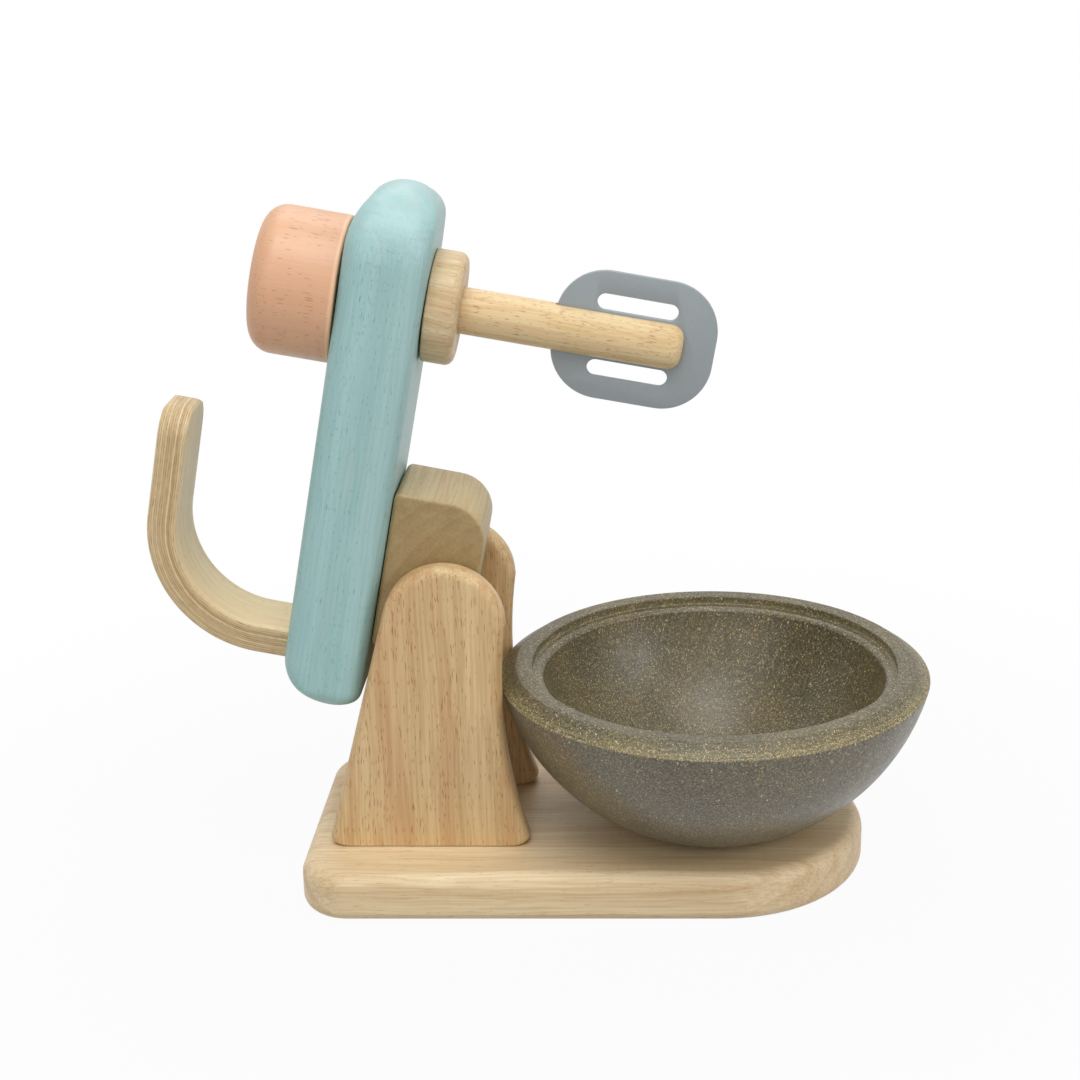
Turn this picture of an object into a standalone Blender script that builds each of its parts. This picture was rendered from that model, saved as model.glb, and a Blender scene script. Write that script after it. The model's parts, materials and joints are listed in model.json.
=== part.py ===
"""Wooden toy stand mixer with a tilting head, a turning paddle and a loose bowl.

Metres, +Z up. The origin is at the middle of the base board's underside. +X points to the
bowl's end and +Y to the mixer's left. The head is stored raised, as when the bowl is filled.
The head and all it carries are placed in the head's own frame, which has its origin on the
pivot's axis, +X along the head and +Z out of its top, as when the head is level.
"""

import math

import bmesh
import bpy
from mathutils import Matrix, Vector

# Clearance between pieces that touch, and the overrun of a cut past a face
GAP = 0.0003
OVERRUN = 0.001

# Base board
BASE_LENGTH = 0.1682
BASE_WIDTH = 0.0884
BASE_THICKNESS = 0.0152
BASE_REAR_RADIUS = 0.0144
BASE_NOSE_FLAT = 0.0004
BASE_EDGE_RADIUS = 0.0043

# Side supports
PIVOT_FROM_REAR = 0.0433
PIVOT_HEIGHT = 0.0853
SUPPORT_THICKNESS = 0.0080
SUPPORT_TOP_RADIUS = 0.0177
SUPPORT_SPACE = 0.0342
SUPPORT_EDGE_RADIUS = 0.0029
SUPPORT_REAR_LEAN = math.radians(3.0)
SUPPORT_REAR_STEP = 0.0006
SUPPORT_WAIST_REACH = 0.0163
SUPPORT_WAIST_HEIGHT = 0.0640
SUPPORT_WAIST_RADIUS = 0.150
SUPPORT_FOOT_RADIUS = 0.0024

# Pivot
AXLE_RADIUS = 0.0030
AXLE_SEAT_DEPTH = 0.0050
PIVOT_WASHER_RADIUS = 0.0070
PIVOT_WASHER_THICKNESS = 0.0005
RAISE_ANGLE = math.radians(79.0)

# Stop dowel
STOP_RADIUS = 0.0030
STOP_SEAT_DEPTH = 0.0050

# Head
HEAD_FRONT_REACH = 0.1200
HEAD_REAR_REACH = 0.0332
HEAD_THICKNESS = 0.0237
HEAD_WIDTH = 0.0450
HEAD_CLEARANCE = 0.0027
HEAD_EDGE_RADIUS = 0.0056
HEAD_NOSE_FLAT = 0.0006
HEAD_REAR_PLAN_RADIUS = 0.0057
HEAD_FRONT_TOP_RADIUS = 0.0136
HEAD_FRONT_TOP_RUN = 0.0175
HEAD_FRONT_UNDER_RADIUS = 0.0101
HEAD_REAR_TOP_RADIUS = 0.0133
HEAD_REAR_UNDER_RADIUS = 0.0056

# Tilt block
BLOCK_FRONT_REACH = 0.0341
BLOCK_REAR_REACH = 0.0135
BLOCK_DROP = 0.0073
BLOCK_FRONT_RADIUS = 0.0110
BLOCK_REAR_RADIUS = 0.0045
BLOCK_TOP_RADIUS = 0.0020
BLOCK_EDGE_RADIUS = 0.0010
BLOCK_DOWEL_RADIUS = 0.0030
BLOCK_DOWEL_LENGTH = 0.0200
BLOCK_DOWEL_FRONT = 0.0240
BLOCK_DOWEL_SPACING = 0.0160

# Handle
HANDLE_CENTRE = 0.0196
HANDLE_THICKNESS = 0.0084
HANDLE_WIDTH = 0.0232
HANDLE_RUN = 0.0093
HANDLE_BEND_RADIUS = 0.0320
HANDLE_TIP = 0.0452
HANDLE_TIP_RADIUS = 0.0030
HANDLE_TIP_CORNER = 0.0090
HANDLE_EDGE_RADIUS = 0.0010
HANDLE_TENON_DEPTH = 0.0080

# Beater: knob, collar, dowel and their washers
BEATER_REACH = 0.0862
BEATER_TILT = math.radians(1.0)
BEATER_PLAY = 0.0006
KNOB_RADIUS = 0.0212
KNOB_HEIGHT = 0.0241
KNOB_EDGE_RADIUS = 0.0066
KNOB_RIM_RADIUS = 0.0008
KNOB_BORE_DEPTH = 0.0161
KNOB_WASHER_RADIUS = 0.0150
COLLAR_RADIUS = 0.0162
COLLAR_HEIGHT = 0.0090
COLLAR_EDGE_RADIUS = 0.0027
COLLAR_RIM_RADIUS = 0.0006
COLLAR_WASHER_RADIUS = 0.0125
WASHER_THICKNESS = 0.0008
DOWEL_RADIUS = 0.0067
DOWEL_TIP = 0.0530
DOWEL_TIP_RADIUS = 0.0038

# Paddle
PADDLE_TOP = 0.0157
PADDLE_BOTTOM = 0.0624
PADDLE_WIDTH = 0.0373
PADDLE_CORNER_RADIUS = 0.0145
PADDLE_THICKNESS = 0.0020
PADDLE_EDGE_RADIUS = 0.0003
SLOT_TOP = 0.0269
SLOT_BOTTOM = 0.0503
SLOT_WIDTH = 0.0048
SLOT_SPACING = 0.0194

# Bowl
BOWL_CLEARANCE = 0.00075
BOWL_RADIUS = 0.0650
BOWL_HEIGHT = 0.0496
BOWL_BAND_DROP = 0.0034
BOWL_BAND_RUN = 0.0049
BOWL_RIM_WIDTH = 0.0051
BOWL_LEDGE_DEPTH = 0.0028
BOWL_LEDGE_WIDTH = 0.0033
BOWL_FOOT_RADIUS = 0.0260
BOWL_OUTER_BULGE = 0.0072
BOWL_FLOOR_RADIUS = 0.0170
BOWL_FLOOR_THICKNESS = 0.0055
BOWL_INNER_BULGE = 0.0069

# Wood screws
SCREW_LENGTH = 0.0320
SCREW_RADIUS = 0.0017
SCREW_HEAD_RADIUS = 0.0034
SCREW_HEAD_HEIGHT = 0.0022
SCREW_POINT_LENGTH = 0.0030
SUPPORT_SCREW_REAR = 0.0220
SUPPORT_SCREW_FRONT = 0.0120
HANDLE_SCREW_SPACING = 0.0140
HANDLE_SCREW_LENGTH = 0.0290

# Facets round a full turn, and along an arc, a corner or a rounded edge
ROUND_STEPS = 40
FINE_STEPS = 60
SMALL_STEPS = 20
ARC_STEPS = 10
CORNER_STEPS = 6
EDGE_STEPS = 3
SHARP_ANGLE = math.radians(32.0)

# Colour, roughness and metallic value of each finish
FINISHES = {
    "light_wood": ((0.80, 0.62, 0.40), 0.50, 0.0),
    "end_grain": ((0.62, 0.44, 0.26), 0.60, 0.0),
    "plywood": ((0.72, 0.54, 0.34), 0.55, 0.0),
    "teal_wood": ((0.30, 0.58, 0.60), 0.45, 0.0),
    "peach_wood": ((0.82, 0.43, 0.30), 0.45, 0.0),
    "speckled_composite": ((0.11, 0.10, 0.07), 0.45, 0.0),
    "grey_plate": ((0.29, 0.32, 0.34), 0.50, 0.0),
    "dark_rubber": ((0.03, 0.03, 0.03), 0.80, 0.0),
    "steel": ((0.60, 0.60, 0.62), 0.35, 1.0),
}

# Places worked out from the sizes above
PIVOT_X = PIVOT_FROM_REAR - BASE_LENGTH / 2
SUPPORT_FACE = SUPPORT_SPACE / 2
SUPPORT_MIDDLE = SUPPORT_FACE + SUPPORT_THICKNESS / 2
SUPPORT_REAR_SLOPE = math.pi / 2 - RAISE_ANGLE + SUPPORT_REAR_LEAN
BLOCK_HALF = SUPPORT_FACE - PIVOT_WASHER_THICKNESS - 2 * GAP
HEAD_LIFT = SUPPORT_TOP_RADIUS + HEAD_CLEARANCE
HEAD_TOP = HEAD_LIFT + HEAD_THICKNESS
STOP_DROP = BLOCK_DROP + GAP + STOP_RADIUS
STOP_REACH = STOP_DROP * math.tan(RAISE_ANGLE / 2)
HEAD_MIDDLE = HEAD_LIFT + HEAD_THICKNESS / 2
BEATER_SEAT = HEAD_THICKNESS / 2 + BEATER_PLAY
RECESS_FLOOR = BEATER_SEAT + WASHER_THICKNESS + GAP
BOWL_REACH = math.sqrt(BOWL_RADIUS**2 - (SUPPORT_FACE + SUPPORT_EDGE_RADIUS) ** 2)
BOWL_X = PIVOT_X + SUPPORT_WAIST_REACH + BOWL_CLEARANCE + BOWL_REACH


def clear_scene():
    for thing in list(bpy.data.objects):
        bpy.data.objects.remove(thing, do_unlink=True)


def make_finish(name):
    colour, roughness, metallic = FINISHES[name]
    finish = bpy.data.materials.new(name)
    finish.use_nodes = True
    shader = finish.node_tree.nodes["Principled BSDF"]
    shader.inputs["Base Color"].default_value = (*colour, 1.0)
    shader.inputs["Roughness"].default_value = roughness
    shader.inputs["Metallic"].default_value = metallic
    return finish


def add_piece(name, mesh_edit, finish, parent=None, location=(0, 0, 0)):
    """Makes a smooth-shaded object from a bmesh, which it frees."""
    bmesh.ops.recalc_face_normals(mesh_edit, faces=mesh_edit.faces)
    mesh = bpy.data.meshes.new(name)
    mesh_edit.to_mesh(mesh)
    mesh_edit.free()
    mesh.shade_smooth()
    mesh.set_sharp_from_angle(angle=SHARP_ANGLE)
    piece = bpy.data.objects.new(name, mesh)
    if finish:
        mesh.materials.append(finish)
    piece.parent = parent
    piece.location = location
    bpy.context.collection.objects.link(piece)
    return piece


def add_axis(name, parent, location, turn=(0, 0, 0)):
    axis = bpy.data.objects.new(name, None)
    axis.parent = parent
    axis.location = location
    axis.rotation_euler = turn
    bpy.context.collection.objects.link(axis)
    return axis


def cut(piece, mesh_edit, location=(0, 0, 0)):
    """Cuts a hidden shape, placed in the same frame as the piece, out of the piece."""
    cutter = add_piece(piece.name + "_cutter", mesh_edit, None, piece.parent, location)
    cutter.hide_render = True
    cutter.display_type = "WIRE"
    modifier = piece.modifiers.new("Cut", "BOOLEAN")
    modifier.operation = "DIFFERENCE"
    modifier.solver = "EXACT"
    modifier.object = cutter


def arc(centre, radius, start, end, steps=ARC_STEPS):
    """Points of an arc in a plane, both ends included, angles in degrees."""
    angles = [math.radians(start + (end - start) * i / steps) for i in range(steps + 1)]
    return [(centre[0] + radius * math.cos(a), centre[1] + radius * math.sin(a)) for a in angles]


def bowed(first, last, bulge, steps=ARC_STEPS):
    """Points from first to last on an arc that bulges this far to the right of that way."""
    (x0, y0), (x1, y1) = first, last
    half = math.hypot(x1 - x0, y1 - y0) / 2
    radius = (half**2 + bulge**2) / (2 * bulge)
    centre = Vector(((x0 + x1) / 2, (y0 + y1) / 2))
    centre += Vector((y0 - y1, x1 - x0)).normalized() * (radius - bulge)
    start = math.degrees(math.atan2(y0 - centre.y, x0 - centre.x))
    sweep = 2 * math.degrees(math.asin(half / radius))
    return arc(centre, radius, start, start + sweep, steps)


def rounded_box(low, high, radii, steps=CORNER_STEPS):
    """Outline of a rectangle with its own radius at each corner, from its low corner on."""
    (x0, y0), (x1, y1) = low, high
    r0, r1, r2, r3 = radii
    return (
        arc((x0 + r0, y0 + r0), r0, 180, 270, steps)
        + arc((x1 - r1, y0 + r1), r1, 270, 360, steps)
        + arc((x1 - r2, y1 - r2), r2, 0, 90, steps)
        + arc((x0 + r3, y1 - r3), r3, 90, 180, steps)
    )


def inset_at(depth, radius):
    """How far a rounded edge draws its outline in, at a depth below the face."""
    return radius - math.sqrt(max(radius**2 - (radius - min(depth, radius)) ** 2, 0))


def fitted(first, second, room):
    """Two radii that meet on one wall, both made smaller if the wall can't hold them."""
    share = min(1, room / (first + second))
    return first * share, second * share


def edge_depths(radius, steps=EDGE_STEPS):
    """Depths below a face that split its rounded edge into equal turns."""
    return [radius * (1 - math.cos(math.pi / 2 * i / steps)) for i in range(steps + 1)]


def loft(rings):
    """A closed solid through rings of points that match one to one."""
    solid = bmesh.new()
    cap = solid.faces.new([solid.verts.new(point) for point in rings[0]])
    for ring in rings[1:]:
        region = [cap, *cap.edges, *cap.verts]
        grown = bmesh.ops.extrude_face_region(solid, geom=region)["geom"]
        cap = next(part for part in grown if isinstance(part, bmesh.types.BMFace))
        for vert, point in zip(cap.verts, ring):
            vert.co = point
    bmesh.ops.remove_doubles(solid, verts=solid.verts, dist=GAP / 100)
    bmesh.ops.dissolve_degenerate(solid, edges=solid.edges, dist=GAP / 100)
    return solid


def turned(profile, steps=ROUND_STEPS):
    """A solid of revolution about Z from a profile of radius and height, axis to axis."""
    solid = bmesh.new()
    verts = [solid.verts.new((radius, 0, height)) for radius, height in profile]
    edges = [solid.edges.new(pair) for pair in zip(verts, verts[1:])]
    bmesh.ops.spin(
        solid,
        geom=verts + edges,
        axis=(0, 0, 1),
        cent=(0, 0, 0),
        angle=math.tau,
        steps=steps,
        use_merge=True,
    )
    bmesh.ops.remove_doubles(solid, verts=solid.verts, dist=GAP / 100)
    return solid


def rod(radius, low, high, steps=SMALL_STEPS):
    return turned([(0, low), (radius, low), (radius, high), (0, high)], steps)


def tube(radius, bore, low, high, steps=ROUND_STEPS):
    return turned([(bore, low), (radius, low), (radius, high), (bore, high), (bore, low)], steps)


def across(mesh_edit):
    """Turns a shape made along Z so that its top points to -Y."""
    turn = Matrix.Rotation(math.pi / 2, 4, "X")
    bmesh.ops.transform(mesh_edit, matrix=turn, verts=mesh_edit.verts)
    return mesh_edit


def plate(outline_at, half, edge_radius, edge_steps=EDGE_STEPS):
    """A board across Y with rounded edges; outline_at gives its outline drawn in."""
    depths = edge_depths(edge_radius, edge_steps)
    sides = [(-half + d, inset_at(d, edge_radius)) for d in depths]
    sides += [(half - d, inset_at(d, edge_radius)) for d in reversed(depths)]
    return loft([[(x, y, z) for x, z in outline_at(inset)] for y, inset in sides])


def base_board(finish):
    """Board with a nearly half-round front end and all edges rounded."""
    half_length, half_width = BASE_LENGTH / 2, BASE_WIDTH / 2
    nose_radius = half_width - BASE_NOSE_FLAT / 2
    depths = edge_depths(BASE_EDGE_RADIUS)
    levels = [(d, inset_at(d, BASE_EDGE_RADIUS)) for d in depths]
    levels += [(BASE_THICKNESS - d, inset_at(d, BASE_EDGE_RADIUS)) for d in reversed(depths)]
    rings = []
    for height, inset in levels:
        rear, front = BASE_REAR_RADIUS - inset, nose_radius - inset
        low = (-half_length + inset, -half_width + inset)
        high = (half_length - inset, half_width - inset)
        outline = rounded_box(low, high, (rear, front, front, rear), ARC_STEPS)
        rings.append([(x, y, height) for x, y in outline])
    board = add_piece("base_board", loft(rings), finish)
    for x, y in support_screw_places():
        cut(board, screw_hole(BASE_THICKNESS), (x, y, 0))
    return board


def support_outline(inset):
    """Outline of a side support from the pivot, drawn in by an inset except at its foot."""
    foot = GAP + BASE_THICKNESS - PIVOT_HEIGHT
    top_radius = SUPPORT_TOP_RADIUS - inset
    rear_offset = SUPPORT_TOP_RADIUS + SUPPORT_REAR_STEP - inset
    slope = math.degrees(SUPPORT_REAR_SLOPE)
    waist_z = SUPPORT_WAIST_HEIGHT - PIVOT_HEIGHT
    waist_radius = SUPPORT_WAIST_RADIUS + inset
    waist_centre = (SUPPORT_WAIST_REACH + SUPPORT_WAIST_RADIUS, waist_z)
    foot_turn = math.degrees(math.asin((waist_z - foot - SUPPORT_FOOT_RADIUS) / waist_radius))
    top_turn = math.degrees(math.asin(-waist_z / waist_radius))
    points = arc(waist_centre, waist_radius, 180 + foot_turn, 180 - top_turn)
    top_start = math.degrees(math.acos(min(points[-1][0] / top_radius, 1)))
    points += arc((0, 0), top_radius, top_start, 180 - slope)
    rear_turn = math.radians(180 - slope)
    rear_edge = Vector((math.cos(rear_turn), math.sin(rear_turn))) * rear_offset
    down = Vector((-math.sin(SUPPORT_REAR_SLOPE), -math.cos(SUPPORT_REAR_SLOPE)))
    rear_run = (rear_edge.y - foot - SUPPORT_FOOT_RADIUS) / -down.y
    rear_foot = rear_edge + down * rear_run
    rear_corner = rear_foot.x + SUPPORT_FOOT_RADIUS * math.cos(SUPPORT_REAR_SLOPE)
    front_corner = points[0][0] - SUPPORT_FOOT_RADIUS
    level = foot + SUPPORT_FOOT_RADIUS
    points += arc((rear_corner, level), SUPPORT_FOOT_RADIUS, 180 - slope, 270, EDGE_STEPS)
    points += arc((front_corner, level), SUPPORT_FOOT_RADIUS, 270, 360, EDGE_STEPS)[:-1]
    return points


def side_support(name, side, finish):
    """Upright board with blind holes for the axle, the stop dowel and two screws."""
    place = (PIVOT_X, side * SUPPORT_MIDDLE, PIVOT_HEIGHT)
    board = plate(support_outline, SUPPORT_THICKNESS / 2, SUPPORT_EDGE_RADIUS)
    support = add_piece(name, board, finish, None, place)
    inner = SUPPORT_FACE - OVERRUN
    for radius, depth, x, z in (
        (AXLE_RADIUS, AXLE_SEAT_DEPTH, 0, 0),
        (STOP_RADIUS, STOP_SEAT_DEPTH, STOP_REACH, -STOP_DROP),
    ):
        outer = SUPPORT_FACE + depth + GAP
        low, high = sorted((-side * inner, -side * outer))
        hole = across(rod(radius + GAP, low, high))
        cut(support, hole, (PIVOT_X + x, 0, PIVOT_HEIGHT + z))
    for x, y in support_screw_places():
        if y * side > 0:
            top = SCREW_LENGTH + 2 * GAP
            hole = rod(SCREW_RADIUS + GAP, BASE_THICKNESS - OVERRUN, top, SMALL_STEPS)
            cut(support, hole, (x, y, 0))
    return support


def support_screw_places():
    return [
        (PIVOT_X + x, side * SUPPORT_MIDDLE)
        for side in (-1, 1)
        for x in (-SUPPORT_SCREW_REAR, SUPPORT_SCREW_FRONT)
    ]


def screw(length):
    """Countersunk wood screw pointing up, its head's flat face at a gap above zero."""
    return turned(
        [
            (0, GAP),
            (SCREW_HEAD_RADIUS, GAP),
            (SCREW_RADIUS, GAP + SCREW_HEAD_HEIGHT),
            (SCREW_RADIUS, length - SCREW_POINT_LENGTH),
            (0, length),
        ],
        SMALL_STEPS,
    )


def screw_hole(depth):
    """Countersunk hole for a screw through a board of this thickness."""
    hole = SCREW_RADIUS + GAP
    mouth = SCREW_HEAD_RADIUS + GAP
    return turned(
        [
            (0, -OVERRUN),
            (mouth, -OVERRUN),
            (mouth, GAP),
            (hole, GAP + SCREW_HEAD_HEIGHT),
            (hole, depth + OVERRUN),
            (0, depth + OVERRUN),
        ],
        SMALL_STEPS,
    )


def pivot_parts(steel, rubber, wood):
    place = (PIVOT_X, 0, PIVOT_HEIGHT)
    reach = SUPPORT_FACE + AXLE_SEAT_DEPTH
    add_piece("pivot_axle", across(rod(AXLE_RADIUS, -reach, reach)), steel, None, place)
    for name, side in (("pivot_washer_right", -1), ("pivot_washer_left", 1)):
        inner = BLOCK_HALF + GAP
        low, high = sorted((-side * inner, -side * (inner + PIVOT_WASHER_THICKNESS)))
        washer = across(tube(PIVOT_WASHER_RADIUS, AXLE_RADIUS + GAP, low, high, SMALL_STEPS))
        add_piece(name, washer, rubber, None, place)
    reach = SUPPORT_FACE + STOP_SEAT_DEPTH
    place = (PIVOT_X + STOP_REACH, 0, PIVOT_HEIGHT - STOP_DROP)
    add_piece("stop_dowel", across(rod(STOP_RADIUS, -reach, reach)), wood, None, place)


def head_ring(x, half_width, low, high):
    """Rounded rectangle across the head at one station along it."""
    radius = min(HEAD_EDGE_RADIUS, half_width, (high - low) / 2)
    outline = rounded_box((-half_width, low), (half_width, high), [radius] * 4, EDGE_STEPS)
    return [(x, y, z) for y, z in outline]


def head_station(end, way, depth, plan, under, top, run):
    """Ring this deep in from an end of the head, whose corners have these radii.

    The corner at the top is drawn out along the head to the length of its run.
    """
    return head_ring(
        end - way * depth,
        HEAD_WIDTH / 2 - inset_at(depth, plan),
        HEAD_LIFT + inset_at(depth, under),
        HEAD_TOP - inset_at(depth * top / run, top),
    )


def head_rings():
    """Stations from the rear end to the front end, closer together where the ends curve."""
    turns = [math.pi / 2 * step / ARC_STEPS for step in range(ARC_STEPS + 1)]
    rings = []
    under, top = fitted(HEAD_REAR_UNDER_RADIUS, HEAD_REAR_TOP_RADIUS, HEAD_THICKNESS)
    for turn in turns:
        depth = max(under, top, HEAD_REAR_PLAN_RADIUS) * (1 - math.cos(turn))
        corners = (HEAD_REAR_PLAN_RADIUS, under, top, top)
        rings.append(head_station(-HEAD_REAR_REACH, -1, depth, *corners))
    under, top = fitted(HEAD_FRONT_UNDER_RADIUS, HEAD_FRONT_TOP_RADIUS, HEAD_THICKNESS)
    plan = (HEAD_WIDTH - HEAD_NOSE_FLAT) / 2
    for turn in reversed(turns):
        depth = max(under, HEAD_FRONT_TOP_RUN, plan) * (1 - math.cos(turn))
        corners = (plan, under, top, HEAD_FRONT_TOP_RUN)
        rings.append(head_station(HEAD_FRONT_REACH, 1, depth, *corners))
    return rings


def head(parent, finish):
    """Body with full rounded ends, bored for the dowel, the handle and the fixings."""
    body = add_piece("head", loft(head_rings()), finish, parent)
    bore = rod(DOWEL_RADIUS + BEATER_PLAY, -HEAD_THICKNESS, HEAD_THICKNESS, ROUND_STEPS)
    bmesh.ops.rotate(bore, matrix=Matrix.Rotation(-BEATER_TILT, 3, "Y"), verts=bore.verts)
    cut(body, bore, (BEATER_REACH, 0, HEAD_MIDDLE))
    half = HANDLE_WIDTH / 2 + GAP
    thick = HANDLE_THICKNESS / 2 + GAP
    floor = HEAD_TOP - HANDLE_TENON_DEPTH - GAP
    outline = [(-thick, -half), (thick, -half), (thick, half), (-thick, half)]
    mortise = loft([[(x, y, z) for x, y in outline] for z in (floor, HEAD_TOP + OVERRUN)])
    cut(body, mortise, (-HANDLE_CENTRE, 0, 0))
    for y in (-1, 1):
        hole = screw_hole(HEAD_THICKNESS - HANDLE_TENON_DEPTH)
        cut(body, hole, (-HANDLE_CENTRE, y * HANDLE_SCREW_SPACING / 2, HEAD_LIFT))
    for x in block_dowel_places():
        top = HEAD_LIFT + BLOCK_DOWEL_LENGTH / 2 + GAP
        cut(body, rod(BLOCK_DOWEL_RADIUS + GAP, HEAD_LIFT - OVERRUN, top), (x, 0, 0))
    return body


def block_dowel_places():
    return [BLOCK_DOWEL_FRONT, BLOCK_DOWEL_FRONT - BLOCK_DOWEL_SPACING]


def block_outline(inset):
    """Side of the tilt block in the head's frame, drawn in all round."""
    low = (-BLOCK_REAR_REACH + inset, -BLOCK_DROP + inset)
    high = (BLOCK_FRONT_REACH - inset, HEAD_LIFT - GAP - inset)
    top = BLOCK_TOP_RADIUS - inset
    radii = (BLOCK_REAR_RADIUS - inset, BLOCK_FRONT_RADIUS - inset, top, top)
    return rounded_box(low, high, radii)


def tilt_block(parent, finish):
    block = plate(block_outline, BLOCK_HALF, BLOCK_EDGE_RADIUS, 2)
    block = add_piece("tilt_block", block, finish, parent)
    reach = BLOCK_HALF + OVERRUN
    cut(block, across(rod(AXLE_RADIUS + GAP, -reach, reach)))
    for x in block_dowel_places():
        floor = HEAD_LIFT - BLOCK_DOWEL_LENGTH / 2 - GAP
        cut(block, rod(BLOCK_DOWEL_RADIUS + GAP, floor, HEAD_LIFT + OVERRUN), (x, 0, 0))


def block_dowels(parent, finish):
    for number, x in enumerate(block_dowel_places(), 1):
        low = HEAD_LIFT - BLOCK_DOWEL_LENGTH / 2
        peg = rod(BLOCK_DOWEL_RADIUS, low, low + BLOCK_DOWEL_LENGTH)
        add_piece(f"block_dowel_{number}", peg, finish, parent, (x, 0, 0))


def handle_outline(inset, tip_inset):
    """Side of the handle: a tenon and a straight run, a bend, and an arm along the head."""
    half = HANDLE_THICKNESS / 2 - inset
    bend = (-HANDLE_CENTRE + HANDLE_BEND_RADIUS, HEAD_TOP + HANDLE_RUN)
    root = HEAD_TOP - HANDLE_TENON_DEPTH + inset
    tip = HANDLE_TIP - tip_inset
    tip_radius = min(HANDLE_TIP_RADIUS, HANDLE_THICKNESS / 2) - inset
    arm = bend[1] + HANDLE_BEND_RADIUS
    points = [(-HANDLE_CENTRE + half, root)]
    points += arc(bend, HANDLE_BEND_RADIUS - half, 180, 90)
    points += arc((tip - tip_radius, arm - half + tip_radius), tip_radius, 270, 360, EDGE_STEPS)
    points += arc((tip - tip_radius, arm + half - tip_radius), tip_radius, 0, 90, EDGE_STEPS)
    points += arc(bend, HANDLE_BEND_RADIUS + half, 90, 180)
    points += [(-HANDLE_CENTRE - half, root)]
    return points


def handle_ring(depth, side):
    """Outline of the handle this deep in from a side, where the tip's corners are round."""
    y = side * (HANDLE_WIDTH / 2 - depth)
    inset = inset_at(depth, HANDLE_EDGE_RADIUS)
    tip_inset = inset_at(depth, min(HANDLE_TIP_CORNER, HANDLE_WIDTH / 2))
    return [(x, y, z) for x, z in handle_outline(inset, tip_inset)]


def handle(parent, finish):
    """Bent plywood strip whose end is a tenon in the head's mortise."""
    corner = min(HANDLE_TIP_CORNER, HANDLE_WIDTH / 2)
    depths = edge_depths(HANDLE_EDGE_RADIUS, 2)
    depths += [d for d in edge_depths(corner, CORNER_STEPS) if d > HANDLE_EDGE_RADIUS]
    rings = [handle_ring(depth, -1) for depth in depths]
    rings += [handle_ring(depth, 1) for depth in reversed(depths)]
    strip = add_piece("handle", loft(rings), finish, parent)
    for y in (-1, 1):
        top = HEAD_LIFT + HANDLE_SCREW_LENGTH + 2 * GAP
        hole = rod(SCREW_RADIUS + GAP, HEAD_LIFT, top)
        cut(strip, hole, (-HANDLE_CENTRE, y * HANDLE_SCREW_SPACING / 2, 0))


def knob(parent, finish):
    """Turned knob with a large round on top, a recess for its washer and a blind bore."""
    bore = DOWEL_RADIUS + GAP
    recess = KNOB_WASHER_RADIUS + GAP
    top = BEATER_SEAT + KNOB_HEIGHT
    bore_end = BEATER_SEAT + KNOB_BORE_DEPTH
    profile = [(0, bore_end), (bore, bore_end), (bore, RECESS_FLOOR)]
    profile += [(recess, RECESS_FLOOR), (recess, BEATER_SEAT)]
    rim = (KNOB_RADIUS - KNOB_RIM_RADIUS, BEATER_SEAT + KNOB_RIM_RADIUS)
    profile += arc(rim, KNOB_RIM_RADIUS, 270, 360, 2)
    shoulder = (KNOB_RADIUS - KNOB_EDGE_RADIUS, top - KNOB_EDGE_RADIUS)
    profile += arc(shoulder, KNOB_EDGE_RADIUS, 0, 90, CORNER_STEPS)
    profile += [(0, top)]
    add_piece("knob", turned(profile), finish, parent)


def collar(parent, finish):
    """Turned disc with a rounded lower edge and a recess for its washer."""
    bore = DOWEL_RADIUS + GAP
    recess = COLLAR_WASHER_RADIUS + GAP
    low = -BEATER_SEAT - COLLAR_HEIGHT
    lower = (COLLAR_RADIUS - COLLAR_EDGE_RADIUS, low + COLLAR_EDGE_RADIUS)
    upper = (COLLAR_RADIUS - COLLAR_RIM_RADIUS, -BEATER_SEAT - COLLAR_RIM_RADIUS)
    profile = [(recess, -BEATER_SEAT), (recess, -RECESS_FLOOR), (bore, -RECESS_FLOOR)]
    profile += [(bore, low)]
    profile += arc(lower, COLLAR_EDGE_RADIUS, 270, 360, EDGE_STEPS)
    profile += arc(upper, COLLAR_RIM_RADIUS, 0, 90, 2)
    profile += [(recess, -BEATER_SEAT)]
    add_piece("collar", turned(profile), finish, parent)


def beater_washers(parent, finish):
    bore = DOWEL_RADIUS + GAP
    near, far = BEATER_SEAT, BEATER_SEAT + WASHER_THICKNESS
    add_piece("knob_washer", tube(KNOB_WASHER_RADIUS, bore, near, far), finish, parent)
    add_piece("collar_washer", tube(COLLAR_WASHER_RADIUS, bore, -far, -near), finish, parent)


def beater_dowel(parent, finish):
    """Dowel from the knob's bore to below the collar, sawn down the middle for the paddle."""
    top = BEATER_SEAT + KNOB_BORE_DEPTH - GAP
    end = -DOWEL_TIP - HEAD_MIDDLE
    tip = (DOWEL_RADIUS - DOWEL_TIP_RADIUS, end + DOWEL_TIP_RADIUS)
    profile = [(0, end)]
    profile += arc(tip, DOWEL_TIP_RADIUS, 270, 360, EDGE_STEPS)
    profile += [(DOWEL_RADIUS, top), (0, top)]
    dowel = add_piece("beater_dowel", turned(profile), finish, parent)
    half = PADDLE_THICKNESS / 2 + GAP
    reach = DOWEL_RADIUS + OVERRUN
    outline = [(-reach, -half), (reach, -half), (reach, half), (-reach, half)]
    levels = (end - OVERRUN, -PADDLE_TOP - HEAD_MIDDLE + GAP)
    cut(dowel, loft([[(x, y, z) for x, y in outline] for z in levels]))


def paddle_outline(inset):
    half = PADDLE_WIDTH / 2 - inset
    radius = PADDLE_CORNER_RADIUS - inset
    low = (-half, -PADDLE_BOTTOM - HEAD_MIDDLE + inset)
    high = (half, -PADDLE_TOP - HEAD_MIDDLE - inset)
    return rounded_box(low, high, [radius] * 4)


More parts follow.
